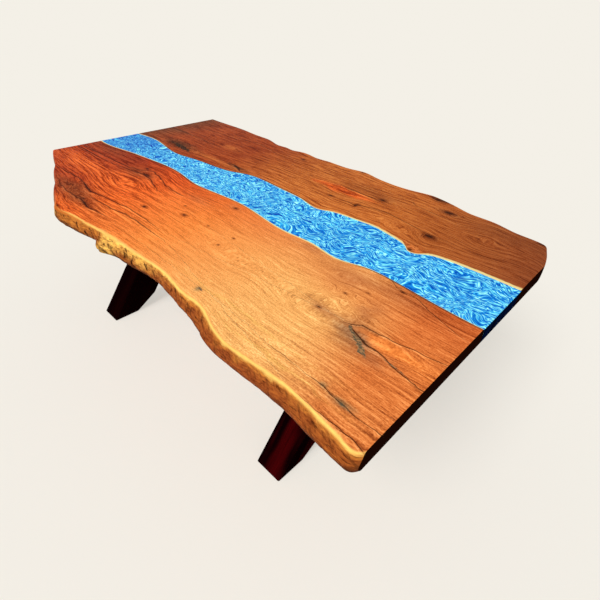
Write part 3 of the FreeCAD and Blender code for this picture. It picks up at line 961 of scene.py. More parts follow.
class Graph:
    """Wires the nodes of one material, or of the world."""

    def __init__(self, name: str, world: bpy.types.World | None = None) -> None:
        """Start an empty material, or clear the world.

        Args:
            name: The finish's name.
            world: The world to wire in place of a material.
        """
        self.material = world or bpy.data.materials.new(name)
        self.material.use_nodes = True
        self.tree = self.material.node_tree
        self.tree.nodes.clear()

    def node(self, kind: str, values: dict[str | int, Any], **settings: Any) -> bpy.types.Node:
        """Add a node.

        Args:
            kind: The node's type, without its ShaderNode prefix.
            values: Inputs by name or number, each a constant or what another node puts out.
            **settings: The node's own properties.

        Returns:
            The node.
        """
        node = self.tree.nodes.new("ShaderNode" + kind)
        for key, value in settings.items():
            setattr(node, key, value)
        for key, value in values.items():
            self.feed(node.inputs[key], value)
        return node

    def add(
        self, kind: str, values: dict[str | int, Any], out: int | str = 0, **settings: Any
    ) -> Value:
        """Add a node, and give one of its outputs."""
        return Value(self, self.node(kind, values, **settings).outputs[out])

    def feed(self, socket: bpy.types.NodeSocket, value: Any) -> None:
        """Link a value to a socket, or set the socket's own constant.

        Args:
            socket: An input of a node.
            value: What another node puts out, a colour or a number.
        """
        if isinstance(value, Value):
            self.tree.links.new(value.socket, socket)
        elif isinstance(value, tuple) and len(value) == 3 and socket.type == "RGBA":
            socket.default_value = (*value, 1.0)
        else:
            socket.default_value = value

    def maths(self, operation: str, *values: Value | float, clamp: bool = False) -> Value:
        """One sum on numbers, such as ADD or MULTIPLY."""
        return self.add("Math", dict(enumerate(values)), operation=operation, use_clamp=clamp)

    def most(self, first: Value, *others: Value) -> Value:
        """The largest of some numbers.

        Args:
            first: A number.
            others: The rest of them.

        Returns:
            The largest.
        """
        for other in others:
            first = self.maths("MAXIMUM", first, other)
        return first

    def mix(self, share: Any, first: Any, second: Any, blend: str = "MIX") -> Value:
        """Blend two colours by a share, which is held from 0 to 1."""
        values = {0: share, 6: first, 7: second}
        return self.add("Mix", values, 2, data_type="RGBA", blend_type=blend)

    def tinted(self, shade: Any, by: Colour, share: Value) -> Value:
        """A colour multiplied by another, as far as the share says."""
        return self.mix(share, shade, by, "MULTIPLY")

    def step(
        self, value: Value, low: float, high: float, start: float = 0.0, end: float = 1.0
    ) -> Value:
        """Smooth change from start to end as value goes from low to high."""
        limits = {"From Min": low, "From Max": high, "To Min": start, "To Max": end}
        return self.add("MapRange", {"Value": value} | limits, interpolation_type="SMOOTHSTEP")

    def noise(
        self, place: Value, scale: float | Triple, detail: float, rough: float = 0.5,
        twist: float = 0.0,
    ) -> Value:
        """Random field from 0 to 1.

        Args:
            place: Where it is read.
            scale: How close it is, alike all ways or along each axis.
            detail: How many finer layers it has.
            rough: How strong each finer layer is.
            twist: How far it is bent by itself.

        Returns:
            The field.
        """
        if isinstance(scale, tuple):
            place, scale = self.add("Mapping", {"Vector": place, "Scale": scale}), 1.0
        size = {"Scale": scale, "Detail": detail, "Roughness": rough, "Distortion": twist}
        return self.add("TexNoise", {"Vector": place} | size, "Fac")

    def flat_noise(
        self, x: Value, y: Value, layer: float, detail: float = 3.0, rough: float = 0.5,
        twist: float = 0.0,
    ) -> Value:
        """Random field over two numbers. Each layer has another one."""
        place = self.add("CombineXYZ", {0: x, 1: y, 2: layer})
        return self.noise(place, scale=1.0, detail=detail, rough=rough, twist=twist)

    def ramp(self, share: Value, stops: Sequence[tuple[float, Colour]]) -> Value:
        """Colours by a share, through stops of (place, colour).

        Args:
            share: Where on the ramp to read.
            stops: Place and colour of each stop, in order.

        Returns:
            The colour.
        """
        node = self.node("ValToRGB", {0: share})
        elements = node.color_ramp.elements
        while len(elements) < len(stops):
            elements.new(0.5)
        for element, (place, colour) in zip(elements, stops):
            element.position = place
            element.color = (*colour, 1.0)
        return Value(self, node.outputs[0])

    def parts(self, vector: Value) -> tuple[Value, Value, Value]:
        """The three numbers of a vector."""
        x, y, z = self.node("SeparateXYZ", {0: vector}).outputs
        return Value(self, x), Value(self, y), Value(self, z)

    def place(self) -> Value:
        """Where a point is on the object, in metres."""
        return self.add("TexCoord", {}, "Object")

    def kept(self, name: str) -> Value:
        """A field that is kept at the mesh's points."""
        return self.add("Attribute", {}, "Vector", attribute_name=name)

    def seen(self) -> Value:
        """1 for rays that show a place, straight or reflected, and 0 for those that light others.

        Returns:
            The share.
        """
        path = self.node("LightPath", {}).outputs
        camera, glossy, through = (
            Value(self, path[f"Is {kind} Ray"]) for kind in ("Camera", "Glossy", "Transmission")
        )
        return (camera + glossy + through).held()

    def bump(self, height: Value, distance: float, strength: float) -> Value:
        """Surface normal for a height field, in metres."""
        return self.add("Bump", {"Height": height, "Distance": distance, "Strength": strength})

    def principled(
        self, shade: Any, rough: Any, normal: Any, shine: float = 0.0, metal: float = 0.0
    ) -> Value:
        """A Principled surface.

        Args:
            shade: Its colour.
            rough: Its roughness.
            normal: Its normal, or none.
            shine: How strongly it reflects at right angles, as a share.
            metal: One for bare metal.

        Returns:
            The shader.
        """
        values = {"Base Color": shade, "Roughness": rough, "Metallic": metal}
        values["Specular IOR Level"] = shine
        if normal is not None:
            values["Normal"] = normal
        return self.add("BsdfPrincipled", values)

    def close(self, shader: Value, kind: str = "Material") -> bpy.types.Material:
        """Put the shader on the material, or on the world."""
        self.node(f"Output{kind}", {"Surface": shader})
        return self.material


@dataclass(frozen=True)
class TimberFinish:
    """Oiled timber of the top, drawn by the fields that its slab keeps."""

    name: str
    pour_dark: Colour
    pour_light: Colour
    line_tint: Colour = (0.36, 0.24, 0.20)
    light_tint: Colour = (1.35, 1.8, 2.3)
    bark_light: Colour = (1.6, 1.8, 1.5)
    crack_tint: Colour = tint(44, 18, 8)
    sap_tint: Colour = tint(255, 232, 156)
    shore_tint: Colour = tint(30, 42, 50)
    # Colour of the bark's rifts, also laid over the relief's sunken pits as painted shade.
    rift_and_pit_shade_tint: Colour = tint(40, 16, 8)
    ring_spacing: float = 13.0 * MM

    def growth_lines(self, g: Graph, x: Value, growth: Value, spacing: float, seed: float) -> Value:
        """Thin dark lines at the end of each ring, here and there fading out along their length.

        Args:
            g: The material's graph.
            x: Place along the table.
            growth: Place among the growth lines.
            spacing: From ring to ring, m.
            seed: Picks the random fields.

        Returns:
            One on a line and zero between the lines.
        """
        drift = g.flat_noise(x * 2.1, growth * (0.26 / spacing), layer=seed, detail=3.0, rough=0.55)
        ring = g.maths("FRACT", growth * (1.0 / spacing) + drift * 6.0)
        across = growth * (0.5 / spacing)
        fading = g.flat_noise(x * 3.0, across, layer=seed + 5.0, detail=3.0, rough=0.6)
        return g.step(ring, 0.5, 0.86) * g.step(ring, 1.0, 0.9) * g.step(fading, 0.40, 0.62)

    def grain(
        self, g: Graph, x: Value, stain_and_painted_light: Value, growth: Value, contrast: Value
    ) -> tuple[Value, Value]:
        """The stain with bands, growth lines and fibres laid over it.

        Args:
            g: The material's graph.
            x: Place along the table.
            stain_and_painted_light: Colour of the timber there.
            growth: Place among the growth lines.
            contrast: How strongly the lines show there.

        Returns:
            The colour, and how dark the lines are.
        """
        def run(along: float, across: float, layer: float, detail: float = 3.0) -> Value:
            """Field of streaks, about zero."""
            return g.flat_noise(x * along, growth * across, layer, detail, rough=0.65) - 0.5

        wide = self.growth_lines(g, x, growth, self.ring_spacing, seed=2.0) * 0.66
        close = self.growth_lines(g, x, growth, self.ring_spacing * 0.42, seed=4.0) * 0.42
        bands = run(1.6, 60.0, layer=7.0) * 1.6 + run(5.0, 170.0, layer=5.0, detail=4.0) * 4.2
        tone = (bands - g.most(wide, close)) * contrast
        tone = tone + run(8.0, 110.0, layer=13.0, detail=2.0) * (contrast * 4.0)
        tone = tone + run(40.0, 420.0, layer=9.0) * (contrast * 3.0 + 0.7)
        tone = tone + run(190.0, 330.0, layer=11.0, detail=2.0) * 2.2
        dark = (tone * -0.85).held()
        shade = g.tinted(stain_and_painted_light, self.line_tint, dark)
        return g.tinted(shade, self.light_tint, tone * 1.25), dark

    def flaws(self, g: Graph, shade: Value, knot: Value, ragged: Value) -> tuple[Value, Value]:
        """Cracks, knots, the resin's dark shore and sapwood over the grain, with a painted
        highlight on the near lip of each crack.

        Args:
            g: The material's graph.
            shade: Colour of the grain.
            knot: Distance to the nearest knot, as a share of its size.
            ragged: Random field that roughens every outline, about zero.

        Returns:
            The colour, and one where there is a crack or a knot.
        """
        vein_one, vein_two, sap = g.parts(g.kept("veins"))
        tracks = [track + ragged for track in (*g.parts(g.kept("cracks")), vein_one, vein_two)]
        crack = g.most(*(g.step(abs(track), 1.5, 0.4) for track in tracks))
        glow = g.most(*(g.step(abs(track), 4.5, 1.2) for track in tracks))
        # Painted highlight along the near lip of each crack, as if that lip caught the light.
        lit_lip = g.most(*(g.step(track, -1.2, -2.2) * g.step(track, -6.0, -3.4) for track in tracks))
        core = g.step(ragged * 0.45 + knot, 1.0, 0.35)
        halo = g.step(ragged * 0.3 + knot, 2.3, 0.9, start=0.0, end=0.6)
        flaw = g.most(crack, core) * 0.85
        inland = g.parts(g.kept("edges"))[0] + ragged * (1.5 * MM)
        shore = g.step(inland, 7.0 * MM, 4.0 * MM, start=0.0, end=0.85)
        cream = g.step(ragged * 0.3 + sap, 1.25, 0.6, start=0.0, end=0.9)
        shade = g.tinted(shade, self.line_tint, glow * 0.3)
        shade = g.tinted(shade, self.light_tint, lit_lip * 0.6)
        shade = g.tinted(shade, self.line_tint, halo)
        layers = ((flaw, self.crack_tint), (shore, self.shore_tint), (cream, self.sap_tint))
        for share, colour in layers:
            shade = g.mix(share, shade, colour)
        return shade, flaw

    def wane(self, g: Graph, x: Value, shade: Value, stain_and_painted_light: Value) -> tuple[Value, Value, Value]:
        """The live edge: its colour made streaky and speckled, with rifts that lean along it and
        painted shade in the pits of its relief.

        Args:
            g: The material's graph.
            x: Place along the table.
            shade: Colour of the top there.
            stain_and_painted_light: Colour of the live edge there.

        Returns:
            The colour, how far a point is on the wane, and a height field for its surface.
        """
        rind, pit, over = g.parts(g.kept("rind"))
        rugged = g.parts(g.kept("edges"))[1]
        slant = x * 40.0 - rind * 46.0
        streak = g.flat_noise(x * 24.0, rind * 130.0, layer=2.0, detail=5.0, rough=0.65, twist=0.5)
        blotch = g.flat_noise(slant, rind * 60.0, layer=4.0, detail=4.0, rough=0.6, twist=0.6)
        speck = g.flat_noise(x * 70.0, rind * 200.0, layer=6.0, detail=3.0, rough=0.65, twist=0.6)
        lean = (x + rind) * 18.0
        rift = g.flat_noise(slant * 2.2, lean, layer=8.0, detail=2.0, rough=0.5, twist=0.3)
        dash = g.flat_noise(x * 34.0, rind * 210.0, layer=10.0, detail=2.0, rough=0.5, twist=0.4)
        low = g.step(rind, 10.0 * MM, 20.0 * MM)
        tone = (streak - 0.5) * 3.2 + (speck - 0.5) * 2.6 + (blotch - 0.5) * 1.8
        tone = tone * (low * 0.8 + 0.2)
        bark = g.tinted(stain_and_painted_light, self.line_tint, -tone)
        bark = g.tinted(bark, self.bark_light, tone)
        dash = g.step(dash, 0.61, 0.67, start=0.0, end=0.6)
        rift = g.most(g.step(rift, 0.57, 0.64) * rugged, dash) * low * 0.95
        # Painted shade: the relief's sunken pits are darkened like the rifts.
        rift = g.most(rift, g.step(pit, 0.5, 0.9, start=0.0, end=0.7))
        bark = g.mix(rift, bark, self.rift_and_pit_shade_tint)
        return g.mix(over, shade, bark), over, streak - speck * 0.6 - rift

    def material(self) -> bpy.types.Material:
        """Grain, flaws, wane and poured resin in one material.

        Returns:
            The material.
        """
        g = Graph(self.name)
        place = g.place()
        x = g.parts(place)[0]
        growth, knot, contrast = g.parts(g.kept("growth"))
        ragged = g.noise(place, scale=(70.0, 170.0, 70.0), detail=3.0, rough=0.6) * 2.2 - 1.1
        # The kept colour is the timber's stain, with painted highlight and painted shade on the
        # live edge.
        stain_and_painted_light = g.kept("stain_and_painted_light")
        shade, dark = self.grain(g, x, stain_and_painted_light, growth, contrast)
        shade, flaw = self.flaws(g, shade, knot, ragged)
        shade, on_wane, bark = self.wane(g, x, shade, stain_and_painted_light)
        pour = g.step(ragged * 0.7 + g.parts(g.kept("pour"))[0], 0.25, 0.75)
        mottle = g.noise(place, scale=(110.0, 220.0, 110.0), detail=3.0, rough=0.6, twist=0.8)
        resin = g.mix(g.step(mottle, 0.45, 0.66), self.pour_dark, self.pour_light)
        shade = g.mix(pour, shade, resin)
        rough = on_wane * 0.12 + 0.32 + dark * 0.12
        height = dark * -0.4 - flaw + bark * 7.0 * on_wane
        normal = g.bump(height, distance=0.3 * MM, strength=0.6)
        return g.close(g.principled(shade, rough, normal, shine=0.008))


@dataclass(frozen=True)
class EndGrainFinish:
    """Sawn end of the slabs, with the rings in it, near black: the end grain's own dark brown with
    painted shade.
    """

    name: str
    tone: Colour
    ring: Colour

    def material(self) -> bpy.types.Material:
        """Nested rings round a heart well below the floor, from a warped sine.

        Returns:
            The material.
        """
        g = Graph(self.name)
        _, y, z = g.parts(g.place())
        warp = g.flat_noise(y * 9.0, z * 14.0, layer=0.0)
        depth = y * y * -0.35 + z
        rings = g.maths("SINE", depth * 900.0 + warp * 22.0)
        share = rings * 0.3 + g.flat_noise(y * 700.0, z * 900.0, layer=0.0, detail=2.0)
        shade = g.mix(g.step(share, 0.3, 0.9), self.tone, self.ring)
        return g.close(g.principled(shade, 0.9, g.bump(share, distance=0.15 * MM, strength=0.5)))


@dataclass(frozen=True)
class ResinFinish:
    """Pearl resin: pale threads of pigment that swirl through a deeper blue."""

    name: str = "pearl_resin"
    stops: tuple[tuple[float, Colour], ...] = (
        (0.31, tint(0, 76, 186)), (0.385, tint(52, 184, 255)), (0.415, tint(140, 252, 255)),
        (0.45, tint(28, 152, 244)), (0.49, tint(0, 84, 192)), (0.53, tint(44, 176, 255)),
        (0.56, tint(156, 254, 255)), (0.60, tint(40, 168, 248)), (0.645, tint(0, 88, 196)),
        (0.70, tint(124, 246, 255)),
    )
    bend: Triple = (0.12, 0.16, 0.0)
    vein: Colour = (0.12, 0.42, 0.72)
    spark: Colour = (2.4, 1.7, 1.2)
    deep: Colour = (0.46, 0.64, 0.84)
    # Painted shade: the river's end faces are drawn dark navy.
    shaded_end_dark: Colour = tint(2, 7, 26)
    shaded_end_light: Colour = tint(5, 20, 60)

    def material(self) -> bpy.types.Material:
        """Marbled strokes along the river: light and dark by turns over a bent random field.

        Returns:
            The material.
        """
        g = Graph(self.name)
        place = g.place()
        slow = g.add("TexNoise", {"Vector": place, "Scale": 7.0, "Detail": 2.0}, "Color")
        bent = g.add("VectorMath", {0: slow, 1: self.bend, 2: place}, operation="MULTIPLY_ADD")
        strokes = g.noise(bent, scale=(17.0, 54.0, 1.0), detail=2.0, rough=0.55, twist=0.6)
        fine = g.noise(bent, scale=(60.0, 160.0, 1.0), detail=3.0, rough=0.7)
        cloud = g.noise(place, scale=9.0, detail=3.0, rough=0.55)
        tone = (fine - 0.5) * 5.4 + (cloud - 0.5) * 1.2
        shade = g.tinted(g.ramp(strokes, self.stops), self.vein, -tone)
        shade = g.tinted(shade, self.spark, tone)
        shade = g.tinted(shade, self.deep, g.step(g.parts(place)[0], -0.5, -0.95))
        rough = g.step(strokes, 0.3, 0.7, start=0.16, end=0.26)
        normal = g.bump(strokes, distance=0.1 * MM, strength=0.2)
        polished = g.principled(shade, rough, normal, shine=0.008)
        # Painted shade on the river's ends: dark navy strokes, without gloss.
        dim = g.mix(g.step(strokes, 0.4, 0.65), self.shaded_end_dark, self.shaded_end_light)
        sawn = g.principled(dim, 0.9, None)
        facing = g.parts(g.add("NewGeometry", {}, "True Normal"))[0]
        at_end = g.step(abs(facing), 0.75, 0.9)
        return g.close(g.add("MixShader", {0: at_end, 1: polished, 2: sawn}))


@dataclass(frozen=True)
class LegFinish:
    """Near-black stained timber with a gloss and red streaks along the grain, partly its own red
    and partly painted sheen.
    """

    name: str
    dark: Colour
    glow: Colour
    grain_turn: Triple
    fibre_tint: Colour = (0.5, 0.45, 0.45)

    def material(self) -> bpy.types.Material:
        """Long streaks from a stretched field, turned to run along the piece.

        Returns:
            The material.
        """
        g = Graph(self.name)
        place = g.add("Mapping", {"Vector": g.place(), "Rotation": self.grain_turn})
        streak = g.noise(place, scale=(14.0, 18.0, 1.8), detail=2.5, rough=0.55, twist=0.2)
        fibre = g.noise(place, scale=(220.0, 260.0, 9.0), detail=3.0, rough=0.6)
        shade = g.mix(g.step(streak, 0.46, 0.72), self.dark, self.glow)
        shade = g.tinted(shade, self.fibre_tint, g.step(fibre, 0.4, 0.7, start=0.0, end=0.6))
        rough = g.step(fibre, 0.3, 0.8, start=0.26, end=0.4)
        return g.close(g.principled(shade, rough, g.bump(fibre, distance=0.12 * MM, strength=0.4)))


@dataclass(frozen=True)
class MetalFinish:
    """Steel or brass hardware, plated or powder coated."""

    name: str
    tone: Colour
    metallic: float
    roughness: float
    grain: float
    mottle_tint: Colour = (0.72, 0.72, 0.74)

    def material(self) -> bpy.types.Material:
        """Fine mottling of tone and gloss.

        Returns:
            The material.
        """
        g = Graph(self.name)
        mottle = g.noise(g.place(), scale=self.grain, detail=4.0, rough=0.6)
        shade = g.tinted(self.tone, self.mottle_tint, g.step(mottle, 0.35, 0.7))
        rough = g.step(mottle, 0.3, 0.75, start=self.roughness, end=self.roughness + 0.12)
        normal = g.bump(mottle, distance=0.05 * MM, strength=0.4)
        return g.close(g.principled(shade, rough, normal, shine=0.5, metal=self.metallic))


@dataclass(frozen=True)
class FeltFinish:
    """Pressed felt: matt, with crossing fibres."""

    name: str
    tone: Colour
    shadow_tint: Colour = (0.55, 0.55, 0.55)

    def material(self) -> bpy.types.Material:
        """Two fields of short fibres, laid across each other.

        Returns:
            The material.
        """
        g = Graph(self.name)
        place = g.place()
        nap = g.most(*(
            g.noise(place, scale=scale, detail=3.0, rough=0.7, twist=1.0)
            for scale in ((900.0, 160.0, 400.0), (160.0, 900.0, 400.0))
        ))
        shade = g.tinted(self.tone, self.shadow_tint, g.step(nap, 0.45, 0.75, start=1.0, end=0.0))
        normal = g.bump(nap, distance=0.4 * MM, strength=0.7)
        return g.close(g.principled(shade, 0.95, normal, shine=0.1))


@dataclass(frozen=True)
class DowelFinish:
    """Pale turned hardwood with fluted fibres."""

    name: str
    tone: Colour
    fibre_tint: Colour = (0.7, 0.6, 0.5)

    def material(self) -> bpy.types.Material:
        """Straight fibres along the dowel.

        Returns:
            The material.
        """
        g = Graph(self.name)
        fibre = g.noise(g.place(), scale=(400.0, 400.0, 25.0), detail=3.0, rough=0.6)
        shade = g.tinted(self.tone, self.fibre_tint, g.step(fibre, 0.4, 0.7, start=0.0, end=0.7))
        normal = g.bump(fibre, distance=0.1 * MM, strength=0.5)
        return g.close(g.principled(shade, 0.6, normal, shine=0.5))


# ---------------------------------------------------------------- the table
@dataclass
class TableTop:
    """Both slabs with their fills, and the river between them."""

    near: Figure
    far: Figure
    near_pours: tuple[Pour, ...] = (
        Pour((790, -322), (905, -402), width=26.0), Pour((866, -354), (1035, -381), width=9.0),
        Pour((922, -535), (973, -543), width=11.0), Pour((391, -514), (421, -522), width=12.0),
    )
    far_pours: tuple[Pour, ...] = (
        Pour((-836, 158), (-600, 127), width=42.0), Pour((-330, 186), (-242, 154), width=15.0),
    )
    near_resin: tuple[Colour, Colour] = (tint(96, 84, 64), tint(176, 130, 86))
    far_resin: tuple[Colour, Colour] = (tint(22, 13, 8), tint(108, 60, 32))

    def build(self) -> None:
        """Make the slabs and their fills, and dress the river."""
        # Near-black end colours: the end grain's own dark brown with painted shade.
        sawn = EndGrainFinish("sawn_end", tint(34, 12, 5), tint(16, 5, 3)).material()
        halves = (
            ("near", Side.NEAR, self.near, self.near_pours, self.near_resin),
            ("far", Side.FAR, self.far, self.far_pours, self.far_resin),
        )
        for half, side, figure, pours, resin in halves:
            slab = LiveEdgeSlab(
                f"{half}_slab_timber", f"{half}_slab", f"{half}_timber", side, figure,
                f"{half}_void_fills",
            )
            timber = TimberFinish(slab.name, *resin).material()
            self.place(slab.shell(), slab.node, slab.slot, [timber, sawn])
            for number, pour in enumerate(pours, start=1):
                shell = pour.shell(f"{slab.node}_pour_{number}", slab, 70 + number)
                self.place(shell, slab.fills, "void_resin", [timber])
        dress("river_resin", ResinFinish().material())

    def place(
        self, shell: GridMesh, node: str, slot: str, finishes: list[bpy.types.Material]
    ) -> None:
        """Build one piece, dress it and put it in the frame.

        Args:
            shell: Its mesh.
            node: CAD node that it stands for.
            slot: The record's material slot; not used.
            finishes: Its materials.
        """
        piece = shell.build()
        for finish in finishes:
            piece.data.materials.append(finish)
        faces = piece.data.polygons
        if len(finishes) == 1:
            faces.foreach_set("material_index", np.zeros(len(faces), np.int32))
        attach(piece, "root")
        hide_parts(node)
        log.info("%s: %d faces", piece.name, len(faces))


def dress(node: str, finish: bpy.types.Material) -> None:
    """Give a CAD node its finish.

    Args:
        node: Name of the node.
        finish: Its material.
    """
    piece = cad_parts[node]
    if not piece.data.materials:
        piece.data.materials.append(finish)
    for slot in piece.material_slots:
        slot.material = finish
    log.info("%s: %s", node, finish.name)


@dataclass
class LegFrames:
    """The crossed legs and their bearers."""

    lean: float = math.radians(37.0)
    dark: Colour = tint(10, 1, 2)
    # Brighter red for the right legs and the lap plugs: partly the timber's own red, partly painted
    # sheen as on lit faces.
    glow: Colour = tint(60, 3, 5)
    # A darker copy of that red for the left legs and the bearers, as painted shade.
    shaded_red: Colour = tint(20, 2, 2)

    def dress(self) -> None:
        """Near legs lean one way and far legs the other, each with its grain along its length."""
        for end, glow in (("left", self.shaded_red), ("right", self.glow)):
            for side, lean in (("near", self.lean), ("far", -self.lean)):
                self.dress_node(f"{end}_{side}_leg", glow, (lean, 0.0, 0.0))
            self.dress_node(f"{end}_bearer", self.shaded_red, (math.pi / 2, 0.0, 0.0))
        self.dress_node("lap_plugs", self.glow, (0.0, math.pi / 2, 0.0))

    def dress_node(self, node: str, glow: Colour, turn: Triple) -> None:
        """One node, with the glow in its streaks and its grain turned to run along it."""
        dress(node, LegFinish(node, self.dark, glow, turn).material())


@dataclass
class Hardware:
    """Channels, fasteners, dowels and feet."""

    def dress(self) -> None:
        """Give every carried-over node its own finish."""
        coated = MetalFinish(
            "powder_coated_steel", tint(38, 38, 40), metallic=0.0, roughness=0.5, grain=900.0
        )
        zinc = MetalFinish(
            "zinc_plated_steel", tint(196, 198, 202), metallic=1.0, roughness=0.28, grain=420.0
        )
        brass = MetalFinish(
            "insert_brass", tint(200, 162, 84), metallic=1.0, roughness=0.3, grain=420.0
        )
        beech = DowelFinish("beech_dowel", tint(208, 170, 122))
        felt = FeltFinish("grey_felt", tint(92, 90, 88))
        nodes = {
            coated: ("left_channel", "centre_channel", "right_channel"),
            zinc: (
                "channel_bolts", "bearer_bolts", "bearer_washers", "leg_lag_screws",
                "lap_bolts", "lap_nuts", "lap_washers",
            ),
            brass: ("channel_inserts", "bearer_inserts"),
            beech: ("leg_dowels",),
            felt: ("foot_pads",),
        }
        for finish, names in nodes.items():
            material = finish.material()
            for name in names:
                dress(name, material)


@dataclass
class Studio:
    """A pale floor, soft light and the camera.

    Attributes:
        ground: Colour of the floor and of what stands behind it.
        floor_reach: Half the side of the floor.
        sky: Strength of the even light from all round.
        sun: Strength of the main light.
        sun_spread: Angle that the main light comes from.
        sun_way: Which way the main light shines.
        shadow: How much of the object's shadow the floor shows to the camera.
        lens: Focal length for a picture 36 mm wide, mm.
        eye: Where the camera stands.
        gaze: Its turns about X, Y and Z.
        sight: How far it sees.
    """

    ground: Colour = tint(244, 240, 231)
    floor_reach: float = 1500.0
    sky: float = 0.46
    sun: float = 2.32
    sun_spread: float = math.radians(30.0)
    sun_way: Triple = (-0.08, 0.94, -1.0)
    shadow: float = 0.42
    lens: float = 24.7751
    eye: Triple = (1.251434, -1.007934, 1.445167)
    gaze: Triple = (math.radians(52.5992), math.radians(-2.16185), math.radians(44.32049))
    sight: float = 4000.0

    def build(self) -> None:
        """Make floor, lights and camera."""
        self.floor()
        self.light()
        self.camera()

    def floor(self) -> None:
        """A wide plain floor at Z = 0."""
        mesh = bpy.data.meshes.new("floor")
        corners = [
            (x * self.floor_reach, y * self.floor_reach, 0.0)
            for x, y in ((-1, -1), (1, -1), (1, 1), (-1, 1))
        ]
        mesh.from_pydata(corners, [], [(0, 1, 2, 3)])
        floor = add_object("floor", mesh)
        g = Graph("floor")
        matt = g.add("BsdfDiffuse", {"Color": self.ground})
        level = g.add("Emission", {"Color": self.ground, "Strength": 1.0})
        seen = g.seen() * (1.0 - self.shadow)
        mesh.materials.append(g.close(g.add("MixShader", {0: seen, 1: matt, 2: level})))

    def light(self) -> None:
        """Even light from all round, and a broad main light from the near side."""
        world = bpy.data.worlds.new("studio")
        bpy.context.scene.world = world
        g = Graph("studio", world)
        even = g.add("Background", {"Color": (1.0, 1.0, 1.0), "Strength": self.sky})
        plain = g.add("Background", {"Color": self.ground, "Strength": 1.0})
        g.close(g.add("MixShader", {0: g.seen(), 1: even, 2: plain}), "World")
        lamp = bpy.data.lights.new("main_light", "SUN")
        lamp.energy = self.sun
        lamp.angle = self.sun_spread
        sun = add_object("main_light", lamp)
        sun.rotation_mode = "QUATERNION"
        sun.rotation_quaternion = Vector(self.sun_way).to_track_quat("-Z", "Y")

    def camera(self) -> None:
        """A standing viewer's view of the near side from the right."""
        data = bpy.data.cameras.new("camera")
        data.sensor_width = 36.0
        data.lens = self.lens
        data.clip_end = self.sight
        camera = add_object("camera", data)
        camera.location = self.eye
        camera.rotation_euler = self.gaze
        scene = bpy.context.scene
        scene.camera = camera
        scene.view_settings.view_transform = "Standard"


